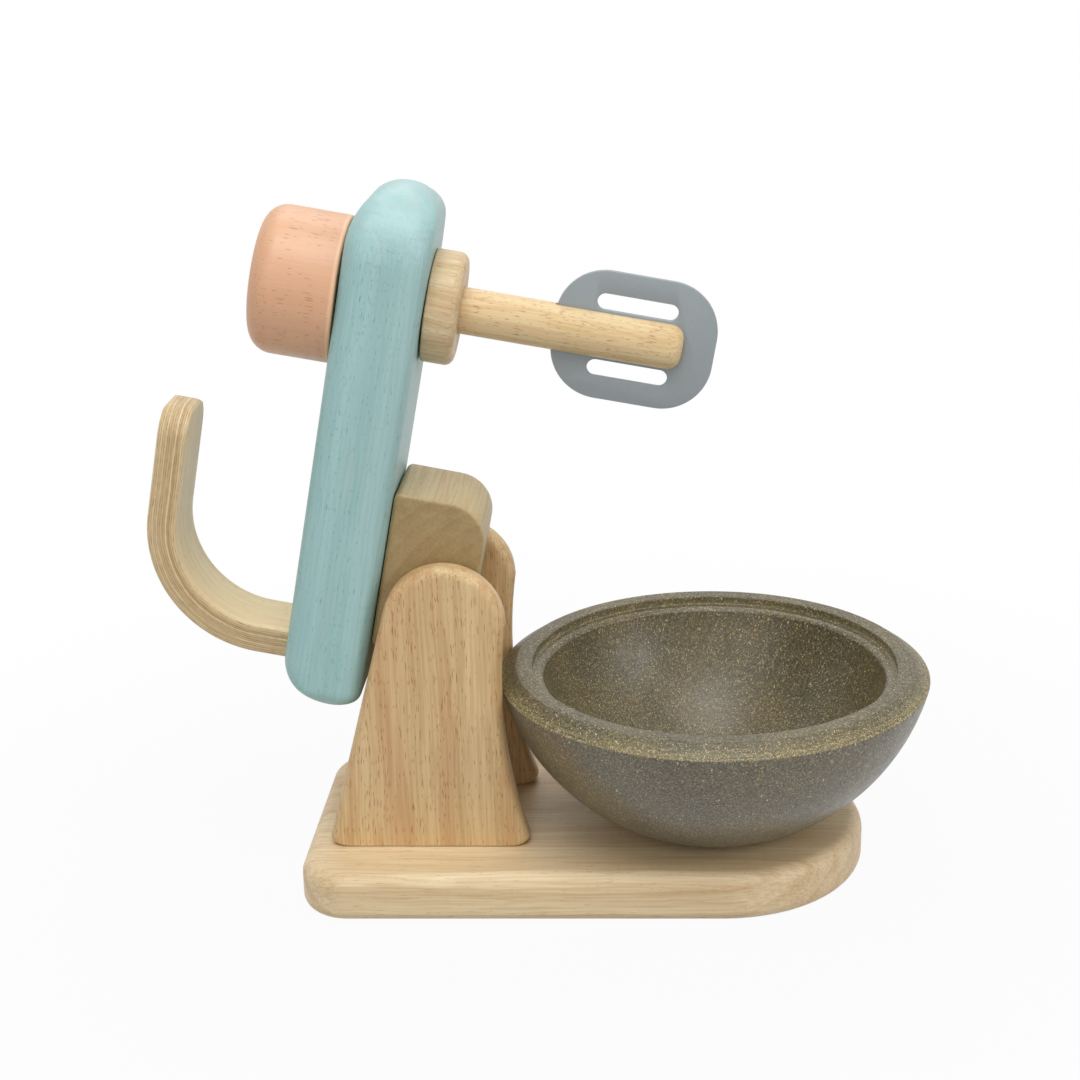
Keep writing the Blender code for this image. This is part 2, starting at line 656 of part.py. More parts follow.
def paddle(parent, finish):
    """Flat plate in the dowel's saw cut, with a long slot on each side of the dowel."""
    blade = plate(paddle_outline, PADDLE_THICKNESS / 2, PADDLE_EDGE_RADIUS, 1)
    blade = add_piece("paddle", blade, finish, parent)
    reach = PADDLE_THICKNESS / 2 + OVERRUN
    half = SLOT_WIDTH / 2
    outline = rounded_box((-half, -SLOT_BOTTOM), (half, -SLOT_TOP), [half] * 4, EDGE_STEPS)
    for side in (-1, 1):
        slot = loft([[(x, y, z) for x, z in outline] for y in (-reach, reach)])
        cut(blade, slot, (side * SLOT_SPACING / 2, 0, -HEAD_MIDDLE))


def bowl(finish):
    """Thick-rimmed bowl with a chamfered band and a small ledge inside the rim."""
    band = BOWL_HEIGHT - BOWL_BAND_DROP
    ledge = BOWL_HEIGHT - BOWL_LEDGE_DEPTH
    rim = BOWL_RADIUS - BOWL_BAND_RUN
    lip = rim - BOWL_RIM_WIDTH
    mouth = lip - BOWL_LEDGE_WIDTH
    floor = (BOWL_FLOOR_RADIUS, BOWL_FLOOR_THICKNESS)
    profile = [(0, 0)]
    profile += bowed((BOWL_FOOT_RADIUS, 0), (BOWL_RADIUS, band), BOWL_OUTER_BULGE)
    profile += [(rim, BOWL_HEIGHT), (lip, BOWL_HEIGHT), (lip, ledge)]
    profile += bowed(floor, (mouth, ledge), BOWL_INNER_BULGE)[::-1]
    profile += [(0, BOWL_FLOOR_THICKNESS)]
    place = (BOWL_X, 0, BASE_THICKNESS + GAP)
    add_piece("bowl", turned(profile, FINE_STEPS), finish, None, place)


def main():
    clear_scene()
    finishes = {name: make_finish(name) for name in FINISHES}
    wood = finishes["light_wood"]
    steel = finishes["steel"]
    rubber = finishes["dark_rubber"]
    base_board(wood)
    side_support("side_support_right", -1, wood)
    side_support("side_support_left", 1, wood)
    for number, (x, y) in enumerate(support_screw_places(), 1):
        add_piece(f"support_screw_{number}", screw(SCREW_LENGTH), steel, None, (x, y, 0))
    pivot_parts(steel, rubber, wood)
    pivot = add_axis("head_pivot", None, (PIVOT_X, 0, PIVOT_HEIGHT), (0, -RAISE_ANGLE, 0))
    head(pivot, finishes["teal_wood"])
    tilt_block(pivot, finishes["end_grain"])
    block_dowels(pivot, wood)
    handle(pivot, finishes["plywood"])
    for number, side in enumerate((-1, 1), 1):
        place = (-HANDLE_CENTRE, side * HANDLE_SCREW_SPACING / 2, HEAD_LIFT)
        add_piece(f"handle_screw_{number}", screw(HANDLE_SCREW_LENGTH), steel, pivot, place)
    place = (BEATER_REACH, 0, HEAD_MIDDLE)
    beater = add_axis("beater_axis", pivot, place, (0, -BEATER_TILT, 0))
    knob(beater, finishes["peach_wood"])
    collar(beater, wood)
    beater_washers(beater, rubber)
    beater_dowel(beater, wood)
    paddle(beater, finishes["grey_plate"])
    bowl(finishes["speckled_composite"])


main()
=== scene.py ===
"""Wooden toy stand mixer with its head raised, laid out as a Blender add-on.

Each operator builds one piece, or one group of like pieces, in metres, at its place in the
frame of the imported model. The head and all it carries are drawn in the head's own frame,
with the origin on the pivot, X along the head and Z out of its top, and then placed.
"""

import json
import math

import bmesh
import bpy
from bpy.props import FloatProperty, FloatVectorProperty, IntProperty, PointerProperty
from mathutils import Matrix, Vector


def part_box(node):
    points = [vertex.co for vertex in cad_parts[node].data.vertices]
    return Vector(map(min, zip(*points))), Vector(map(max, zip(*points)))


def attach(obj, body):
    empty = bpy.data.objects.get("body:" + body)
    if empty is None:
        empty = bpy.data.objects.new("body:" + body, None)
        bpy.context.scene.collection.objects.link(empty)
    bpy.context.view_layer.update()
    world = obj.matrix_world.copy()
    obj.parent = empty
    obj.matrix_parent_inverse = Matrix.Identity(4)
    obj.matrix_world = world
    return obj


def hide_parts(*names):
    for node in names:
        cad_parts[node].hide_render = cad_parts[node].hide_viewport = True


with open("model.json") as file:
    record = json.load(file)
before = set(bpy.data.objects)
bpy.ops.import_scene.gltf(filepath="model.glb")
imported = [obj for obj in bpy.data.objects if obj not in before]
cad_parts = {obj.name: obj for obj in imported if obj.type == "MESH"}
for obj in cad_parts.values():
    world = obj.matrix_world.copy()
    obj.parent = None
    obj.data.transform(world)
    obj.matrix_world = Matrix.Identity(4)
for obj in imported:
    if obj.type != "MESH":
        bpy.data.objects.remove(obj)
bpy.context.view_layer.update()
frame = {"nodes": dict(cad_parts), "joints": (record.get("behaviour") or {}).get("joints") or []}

bl_info = {
    "name": "Toy Stand Mixer",
    "version": (1, 0, 0),
    "blender": (4, 5, 0),
    "location": "View3D > Sidebar > Toy Mixer",
    "description": "Builds a wooden toy stand mixer over its packed model",
    "category": "Add Mesh",
}

CLEAR = 0.0003
MERGE = 0.000001
SQUARE_TURN = 60.0
RIM_TURN = 22.0
WASHER_EDGE = 0.0002
PADDLE_EDGE = 0.00025
BOWL_EDGE = 0.0005
# Span of the painted highlight along the knob's lower rim.
RIM_HIGHLIGHT_START = 0.0014
RIM_HIGHLIGHT_END = 0.0004
JOINTS = {joint["name"]: joint for joint in frame["joints"]}
PIVOT = Vector(JOINTS["head_tilt"]["pos_m"])
RAISED = math.radians(JOINTS["head_tilt"]["range_deg"][1])
BEATER_POINT = Vector(JOINTS["beater_turn"]["pos_m"])
BOWL_POINT = Vector(JOINTS["bowl_turn"]["pos_m"])
BEATER_LEAN = math.radians(80.0)
HEAD_FRAME = Matrix.Translation(PIVOT) @ Matrix.Rotation(-RAISED, 4, "Y")
BEATER_FRAME = Matrix.Translation(BEATER_POINT) @ Matrix.Rotation(-BEATER_LEAN, 4, "Y")


def linear(red, green, blue):
    """Linear values of a display colour given from 0 to 255."""
    shares = [value / 255 for value in (red, green, blue)]
    return tuple(s / 12.92 if s <= 0.04045 else ((s + 0.055) / 1.055) ** 2.4 for s in shares)


def length(name, value, text):
    return FloatProperty(name=name, default=value, min=0.0, precision=5, unit="LENGTH", description=text)


def turn(name, degrees, text):
    return FloatProperty(name=name, default=math.radians(degrees), subtype="ANGLE", description=text)


def power(name, value, text):
    return FloatProperty(name=name, default=value, min=0.0, description=text)


def tint(name, shades, text):
    return FloatVectorProperty(
        name=name, default=linear(*shades), size=3, min=0.0, max=1.0, subtype="COLOR", description=text
    )


class ToyMixerStand(bpy.types.PropertyGroup):
    """Sizes of the base board and the two side supports"""

    base_rear_radius: length("Rear corner radius", 0.0144, "Radius of the base board's rear corners")
    base_nose_flat: length("Nose flat", 0.0004, "Width of the flat at the middle of the base's nose")
    base_edge_radius: length("Base edge radius", 0.0043, "Radius of the base board's rounded edges")
    top_radius: length("Support top radius", 0.0177, "Radius of a side support's round top")
    edge_radius: length("Support edge radius", 0.0029, "Radius of a side support's rounded edges")
    rear_step: length("Rear step", 0.0006, "How far the rear edge stands outside the round top")
    rear_slope: turn("Rear slope", 14.0, "Lean of the support's rear edge")
    waist_reach: length("Waist reach", 0.0163, "Distance from the pivot to the front edge's waist")
    waist_height: length("Waist height", 0.0640, "Height of the waist above the table")
    waist_radius: length("Waist radius", 0.150, "Radius of the hollow front edge")
    foot_radius: length("Foot radius", 0.0024, "Radius of a support's lower corners")


class ToyMixerHead(bpy.types.PropertyGroup):
    """Sizes of the head and the block that carries it"""

    lift: length("Lift", 0.0204, "Distance from the pivot to the head's underside")
    thickness: length("Thickness", 0.0237, "Thickness of the head")
    width: length("Width", 0.0450, "Width of the head")
    front_reach: length("Front reach", 0.1200, "Distance from the pivot to the front end")
    rear_reach: length("Rear reach", 0.0332, "Distance from the pivot to the rear end")
    edge_radius: length("Edge radius", 0.0056, "Radius of the rounded long edges")
    nose_flat: length("Nose flat", 0.0006, "Width of the flat at the middle of the nose")
    rear_plan: length("Rear plan radius", 0.0057, "Radius of the rear corners seen from above")
    front_top: length("Front top radius", 0.0136, "Drop of the round at the front end's top")
    front_run: length("Front top run", 0.0175, "Length of the round at the front end's top")
    front_under: length("Front lower radius", 0.0101, "Radius of the front end's lower round")
    rear_top: length("Rear top radius", 0.0133, "Radius of the rear end's top round")
    rear_under: length("Rear lower radius", 0.0056, "Radius of the rear end's lower round")
    block_front: length("Block front reach", 0.0341, "Distance from the pivot to the block's front")
    block_rear: length("Block rear reach", 0.0135, "Distance from the pivot to the block's rear")
    block_drop: length("Block drop", 0.0073, "Distance from the pivot to the block's underside")
    block_front_radius: length("Block front radius", 0.0110, "Radius of the block's lower front round")
    block_rear_radius: length("Block rear radius", 0.0045, "Radius of the block's lower rear round")
    block_top_radius: length("Block top radius", 0.0020, "Radius of the block's upper corners")
    block_edge: length("Block edge radius", 0.0010, "Radius of the block's side edges")


class ToyMixerHandle(bpy.types.PropertyGroup):
    """Sizes of the bent plywood handle"""

    centre: length("Centre", 0.0196, "Distance from the pivot back to the middle of the handle's root")
    thickness: length("Thickness", 0.0084, "Thickness of the plywood")
    width: length("Width", 0.0232, "Width of the handle")
    run: length("Run", 0.0093, "Straight length between the head and the bend")
    bend_radius: length("Bend radius", 0.0320, "Radius of the bend at the plywood's middle")
    tip: length("Tip", 0.0452, "Distance from the pivot forward to the tip")
    tip_radius: length("Tip radius", 0.0020, "Radius of the tip's edges")
    tip_corner: length("Tip corner radius", 0.0090, "Radius of the tip's corners seen from above")
    edge_radius: length("Edge radius", 0.0010, "Radius of the long edges")
    tenon: length("Tenon", 0.0080, "Depth of the tenon in the head")
    plies: IntProperty(name="Plies", default=13, min=3, max=15, description="Number of plies")


class ToyMixerBeater(bpy.types.PropertyGroup):
    """Sizes of the knob, collar, dowel, washers and paddle, from the middle of the head"""

    seat: length("Seat", 0.01245, "Distance from the middle of the head to a washer")
    skirt: length("Skirt", 0.0002, "How far the rims of knob and collar reach past their seats")
    washer: length("Washer thickness", 0.0008, "Thickness of a washer")
    knob_washer: length("Knob washer radius", 0.0150, "Radius of the knob's washer")
    collar_washer: length("Collar washer radius", 0.0125, "Radius of the collar's washer")
    knob_radius: length("Knob radius", 0.0212, "Radius of the knob")
    knob_height: length("Knob height", 0.0241, "Height of the knob")
    knob_edge: length("Knob edge radius", 0.0066, "Radius of the knob's top edge")
    knob_rim: length("Knob rim radius", 0.0008, "Radius of the knob's lower edge")
    knob_bore: length("Knob bore depth", 0.0161, "Depth of the knob's bore")
    collar_radius: length("Collar radius", 0.0162, "Radius of the collar")
    collar_height: length("Collar height", 0.0090, "Height of the collar")
    collar_edge: length("Collar edge radius", 0.0027, "Radius of the collar's lower edge")
    collar_rim: length("Collar rim radius", 0.0006, "Radius of the collar's upper edge")
    dowel_radius: length("Dowel radius", 0.0067, "Radius of the dowel")
    dowel_tip: length("Dowel tip", 0.08525, "Distance from the middle of the head to the dowel's tip")
    dowel_tip_radius: length("Dowel tip radius", 0.0038, "Radius of the dowel's tip edge")
    paddle_top: length("Paddle top", 0.04795, "Distance from the middle of the head to the paddle's top")
    paddle_height: length("Paddle height", 0.0467, "Height of the paddle")
    paddle_width: length("Paddle width", 0.0373, "Width of the paddle")
    paddle_corner: length("Paddle corner radius", 0.0145, "Radius of the paddle's corners")
    paddle_thickness: length("Paddle thickness", 0.0020, "Thickness of the paddle")
    slot_top: length("Slot top", 0.05915, "Distance from the middle of the head to a slot's top")
    slot_height: length("Slot height", 0.0234, "Height of a slot")
    slot_width: length("Slot width", 0.0048, "Width of a slot")
    slot_spacing: length("Slot spacing", 0.0194, "Distance between the middles of the slots")


class ToyMixerBowl(bpy.types.PropertyGroup):
    """Sizes of the bowl"""

    radius: length("Radius", 0.0650, "Largest radius of the bowl")
    height: length("Height", 0.0496, "Height of the bowl")
    band_drop: length("Band drop", 0.0034, "Height of the sloping band under the rim")
    band_run: length("Band run", 0.0049, "Width of the sloping band under the rim")
    rim_width: length("Rim width", 0.0051, "Width of the flat rim")
    ledge_depth: length("Ledge depth", 0.0028, "Depth of the ledge inside the rim")
    ledge_width: length("Ledge width", 0.0033, "Width of the ledge inside the rim")
    mouth_radius: length("Mouth radius", 0.0018, "Rounding of the ledge's inner edge")
    foot_radius: length("Foot radius", 0.0260, "Radius of the flat foot")
    outer_bulge: length("Outer bulge", 0.0072, "How far the outside wall bows out")
    floor_radius: length("Floor radius", 0.0170, "Radius of the flat floor inside")
    floor_thickness: length("Floor thickness", 0.0055, "Thickness of the floor")
    inner_bulge: length("Inner bulge", 0.0069, "How far the inside wall bows out")


class ToyMixerFinishes(bpy.types.PropertyGroup):
    """Colours of the finishes"""

    board_light: tint("Board light", (243, 222, 183), "Pale wood of the base board")
    board_dark: tint("Board dark", (210, 177, 129), "Grain of the base board")
    support_light: tint("Support light", (229, 201, 152), "Pale wood of the side supports")
    support_dark: tint("Support dark", (196, 158, 106), "Grain of the side supports")
    block_light: tint("Block light", (194, 174, 127), "Pale wood of the tilt block")
    block_dark: tint("Block dark", (162, 136, 92), "Grain of the tilt block")
    dowel_light: tint("Dowel light", (240, 218, 172), "Pale wood of the dowel")
    dowel_dark: tint("Dowel dark", (212, 178, 122), "Grain of the dowel")
    collar_light: tint("Collar light", (228, 208, 168), "Pale wood of the collar")
    collar_dark: tint("Collar dark", (180, 146, 98), "Grain of the collar")
    pore: tint("Pore", (160, 86, 46), "Pores of the plain woods")
    teal_light: tint("Teal light", (164, 202, 200), "Pale grain of the stained head")
    teal_dark: tint("Teal dark", (128, 172, 172), "Dark grain of the stained head")
    teal_pore: tint("Teal pore", (50, 104, 114), "Pores of the stained head")
    peach_light: tint("Peach light", (224, 174, 136), "Pale grain of the stained knob")
    peach_dark: tint("Peach dark", (210, 154, 114), "Dark grain of the stained knob")
    peach_pore: tint("Peach pore", (142, 70, 42), "Pores of the stained knob")
    ply_light: tint("Ply light", (234, 214, 172), "Long-grain plies of the handle")
    ply_dark: tint("Ply dark", (194, 164, 118), "Cross-grain plies of the handle")
    bowl_outside: tint("Bowl outside", (86, 82, 70), "Composite of the bowl's outside")
    bowl_inside: tint("Bowl inside", (70, 60, 26), "Composite of the bowl's inside")
    bowl_rim: tint("Bowl rim", (76, 68, 38), "Composite of the bowl's sloping band and rim")
    bowl_edge: tint("Bowl edge", (130, 118, 72), "Composite of the lower edge of the sloping band")
    fleck_gold: tint("Gold fleck", (222, 188, 110), "Golden flecks in the composite")
    fleck_pale: tint("Pale fleck", (240, 228, 192), "Pale flecks in the composite")
    paddle: tint("Paddle", (124, 133, 133), "Painted paddle")
    rubber: tint("Rubber", (34, 33, 32), "Washers")
    steel: tint("Steel", (176, 176, 180), "Axle and screws")


class ToyMixerStage(bpy.types.PropertyGroup):
    """Camera, lights and floor"""

    camera_place: FloatVectorProperty(
        name="Camera place", default=(0.02170, -0.55104, 0.28987), size=3, subtype="XYZ",
        description="Where the camera stands",
    )
    camera_pitch: turn("Camera pitch", 71.29, "Turn of the camera up from looking straight down")
    camera_lens: FloatProperty(name="Lens", default=65.53, min=1.0, description="Focal length in millimetres")
    camera_shift: FloatProperty(name="Shift", default=-0.1113, description="Sideways shift of the view")
    sky: power("Sky", 0.44, "Strength of the even light")
    key: power("Key light", 5.6, "Power of the light overhead")
    side: power("Side light", 2.2, "Power of the light at the right")
    fill: power("Fill light", 2.6, "Power of the light in front")
    back: power("Back light", 2.6, "Power of the light behind")
    floor_size: length("Floor size", 12.0, "Width of the floor")


GROUPS = {
    "toy_mixer_stand": ToyMixerStand,
    "toy_mixer_head": ToyMixerHead,
    "toy_mixer_handle": ToyMixerHandle,
    "toy_mixer_beater": ToyMixerBeater,
    "toy_mixer_bowl": ToyMixerBowl,
    "toy_mixer_finishes": ToyMixerFinishes,
    "toy_mixer_stage": ToyMixerStage,
}


# Shapes


class Outline:
    """A wire in the plane of X and Z that grows by straight runs and bends"""

    def __init__(self, x, z):
        self.edit = bmesh.new()
        self.last = self.edit.verts.new((x, 0, z))

    def line(self, x, z):
        made = bmesh.ops.extrude_vert_indiv(self.edit, verts=[self.last])
        self.last = made["verts"][0]
        self.last.co = (x, 0, z)
        return self

    def bend(self, x, z, degrees, steps):
        """Turns the end round a centre; positive degrees turn from +X towards +Z."""
        made = bmesh.ops.spin(
            self.edit,
            geom=[self.last],
            cent=(x, 0, z),
            axis=(0, -1, 0),
            angle=math.radians(degrees),
            steps=steps,
        )
        self.last = next(v for v in made["geom_last"] if isinstance(v, bmesh.types.BMVert))
        return self

    def bow(self, x, z, bulge, steps):
        """Bends to a point on an arc that bulges to the right of its way, or left if negative."""
        start, end = Vector((self.last.co.x, self.last.co.z)), Vector((x, z))
        half = (end - start).length / 2
        radius = (half**2 + bulge**2) / (2 * abs(bulge))
        left = Vector((start.y - end.y, end.x - start.x)).normalized() * math.copysign(1, bulge)
        centre = (start + end) / 2 + left * (radius - abs(bulge))
        sweep = math.copysign(2 * math.degrees(math.asin(half / radius)), bulge)
        return self.bend(centre.x, centre.y, sweep, steps)


def turned(outline, steps=128):
    """Spins an outline of radius and height once round Z."""
    edit = outline.edit
    bmesh.ops.spin(
        edit,
        geom=edit.verts[:] + edit.edges[:],
        axis=(0, 0, 1),
        cent=(0, 0, 0),
        angle=math.tau,
        steps=steps,
        use_merge=True,
    )
    bmesh.ops.remove_doubles(edit, verts=edit.verts, dist=MERGE)
    return edit


def ring_outline(radius, bore, low, high, edge):
    """Outline of a flat ring with rounded outer edges."""
    outline = Outline(bore, low).line(radius - edge, low).bend(radius - edge, low + edge, 90, 3)
    outline.line(radius, high - edge).bend(radius - edge, high - edge, 90, 3)
    return outline.line(bore, high).line(bore, low)


def plate(edit, half):
    """Fills an outline and gives it its thickness across Y."""
    bmesh.ops.remove_doubles(edit, verts=edit.verts, dist=MERGE)
    face = bmesh.ops.contextual_create(edit, geom=edit.edges[:])["faces"][0]
    bmesh.ops.translate(edit, verts=edit.verts, vec=(0, -half, 0))
    made = bmesh.ops.extrude_face_region(edit, geom=[face, *face.edges, *face.verts])["geom"]
    far = [part for part in made if isinstance(part, bmesh.types.BMVert)]
    bmesh.ops.translate(edit, verts=far, vec=(0, 2 * half, 0))
    bmesh.ops.recalc_face_normals(edit, faces=edit.faces)
    return edit


def sharp_edges(edit, degrees):
    limit = math.radians(degrees)
    return [e for e in edit.edges if len(e.link_faces) == 2 and e.calc_face_angle() > limit]


def round_edges(edit, edges, radius, segments):
    """Rounds the edges and gives the faces of the rounds."""
    made = bmesh.ops.bevel(
        edit, geom=edges, offset=radius, affect="EDGES", segments=segments, profile=0.5, material=-1
    )
    return made["faces"]


def flatten_shading(edit, smallest, inset):
    """Sets an inner loop into each large flat face, so that its shading stays flat."""
    large = [face for face in edit.faces if face.calc_area() > smallest]
    bmesh.ops.inset_individual(edit, faces=large, thickness=inset, use_even_offset=True)


def loft(rings):
    """Pushes a face through rings of points that match one to one."""
    edit = bmesh.new()
    cap = edit.faces.new([edit.verts.new(point) for point in rings[0]])
    for ring in rings[1:]:
        made = bmesh.ops.extrude_face_region(edit, geom=[cap, *cap.edges, *cap.verts])["geom"]
        cap = next(part for part in made if isinstance(part, bmesh.types.BMFace))
        for vert, point in zip(cap.verts, ring):
            vert.co = point
    bmesh.ops.remove_doubles(edit, verts=edit.verts, dist=MERGE)
    bmesh.ops.dissolve_degenerate(edit, edges=edit.edges, dist=MERGE)
    return edit


def arc(x, y, radius, start, end, steps):
    angles = [math.radians(start + (end - start) * i / steps) for i in range(steps + 1)]
    return [(x + radius * math.cos(a), y + radius * math.sin(a)) for a in angles]


def inset_at(depth, radius):
    """How far a rounded edge draws in at a depth below the face."""
    return radius - math.sqrt(max(radius**2 - (radius - min(depth, radius)) ** 2, 0))


def depths(radius, steps):
    return [radius * (1 - math.cos(math.pi / 2 * i / steps)) for i in range(steps + 1)]


def add_object(name, edit, material, sharp=40.0):
    bmesh.ops.remove_doubles(edit, verts=edit.verts, dist=MERGE)
    bmesh.ops.recalc_face_normals(edit, faces=edit.faces)
    mesh = bpy.data.meshes.new(name)
    edit.to_mesh(mesh)
    edit.free()
    mesh.shade_smooth()
    mesh.set_sharp_from_angle(angle=math.radians(sharp))
    if material:
        mesh.materials.append(material)
    made = bpy.data.objects.new(name, mesh)
    bpy.context.scene.collection.objects.link(made)
    return made


def add_piece(name, edit, material, body, nodes, sharp=40.0):
    """Makes a piece that rides on a body and stands for its nodes."""
    piece = add_object(name, edit, material, sharp)
    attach(piece, body)
    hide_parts(*nodes)
    return piece


def carve(edit, *cutters):
    """Cuts shapes out of a shape."""
    bmesh.ops.recalc_face_normals(edit, faces=edit.faces)
    body = add_object("carve_body", edit, None)
    tools = []
    for cutter in cutters:
        bmesh.ops.recalc_face_normals(cutter, faces=cutter.faces)
        tool = add_object("carve_tool", cutter, None)
        modifier = body.modifiers.new("Carve", "BOOLEAN")
        modifier.operation = "DIFFERENCE"
        modifier.solver = "EXACT"
        modifier.object = tool
        tools.append(tool)
    graph = bpy.context.evaluated_depsgraph_get()
    result = bmesh.new()
    result.from_mesh(body.evaluated_get(graph).to_mesh())
    for thing in [body, *tools]:
        mesh = thing.data
        bpy.data.objects.remove(thing)
        bpy.data.meshes.remove(mesh)
    bmesh.ops.remove_doubles(result, verts=result.verts, dist=MERGE)
    return result


def rod(radius, low, high, steps=64):
    """A closed rod along Z for carving."""
    edit = bmesh.new()
    made = bmesh.ops.create_cone(
        edit, cap_ends=True, segments=steps, radius1=radius, radius2=radius, depth=high - low
    )
    bmesh.ops.translate(edit, verts=made["verts"], vec=(0, 0, (low + high) / 2))
    return edit


def block(low, high):
    """A box between two corners."""
    edit = bmesh.new()
    low, high = Vector(low), Vector(high)
    made = bmesh.ops.create_cube(edit, size=1.0)
    bmesh.ops.scale(edit, verts=made["verts"], vec=high - low)
    bmesh.ops.translate(edit, verts=made["verts"], vec=(low + high) / 2)
    return edit


def place(edit, matrix):
    bmesh.ops.transform(edit, matrix=matrix, verts=edit.verts)
    return edit


# Materials


class Net:
    """Adds nodes to one tree and joins them"""

    def __init__(self, tree):
        self.tree = tree

    def add(self, kind, inputs=None, **settings):
        made = self.tree.nodes.new("ShaderNode" + kind)
        for name, value in settings.items():
            setattr(made, name, value)
        for key, value in (inputs or {}).items():
            self.put(made.inputs[key], value)
        return made

    def put(self, socket, value):
        if isinstance(value, bpy.types.NodeSocket):
            self.tree.links.new(value, socket)
        else:
            socket.default_value = value

    def math(self, operation, *values, clamp=False):
        made = self.add("Math", dict(enumerate(values)), operation=operation)
        made.use_clamp = clamp
        return made.outputs[0]

    def vector(self, operation, *values):
        made = self.add("VectorMath", dict(enumerate(values)), operation=operation)
        return made.outputs["Value" if operation in {"LENGTH", "DOT_PRODUCT"} else "Vector"]

    def noise(self, vector, detail=2.0, roughness=0.5):
        inputs = {"Vector": vector, "Scale": 1.0, "Detail": detail, "Roughness": roughness}
        return self.add("TexNoise", inputs)

    def fac(self, vector, stretch, detail=2.0, roughness=0.5):
        """Plain noise on stretched coordinates."""
        return self.noise(self.vector("MULTIPLY", vector, stretch), detail, roughness).outputs["Fac"]

    def bump(self, shader, height, strength, distance):
        made = self.add("Bump", {"Height": height, "Strength": strength, "Distance": distance})
        self.put(shader.inputs["Normal"], made.outputs[0])

    def cells(self, vector):
        return self.add("TexVoronoi", {"Vector": vector, "Scale": 1.0})

    def spread(self, value, low, high, start=0.0, end=1.0):
        inputs = {"Value": value, 1: low, 2: high, 3: start, 4: end}
        return self.add("MapRange", inputs, interpolation_type="SMOOTHSTEP").outputs[0]

    def mix(self, share, first, second):
        inputs = {0: share, 6: first, 7: second}
        return self.add("Mix", inputs, data_type="RGBA").outputs[2]


def solid(colour):
    return (*colour, 1.0)


def new_group(name, inputs, outputs):
    tree = bpy.data.node_groups.new(name, "ShaderNodeTree")
    kinds = {"vector": "NodeSocketVector", "colour": "NodeSocketColor", "value": "NodeSocketFloat"}
    for label, kind, value in inputs:
        socket = tree.interface.new_socket(name=label, in_out="INPUT", socket_type=kinds[kind])
        if value is not None:
            socket.default_value = value
    for label, kind in outputs:
        tree.interface.new_socket(name=label, in_out="OUTPUT", socket_type=kinds[kind])
    enter = tree.nodes.new("NodeGroupInput").outputs
    leave = tree.nodes.new("NodeGroupOutput").inputs
    return Net(tree), enter, leave


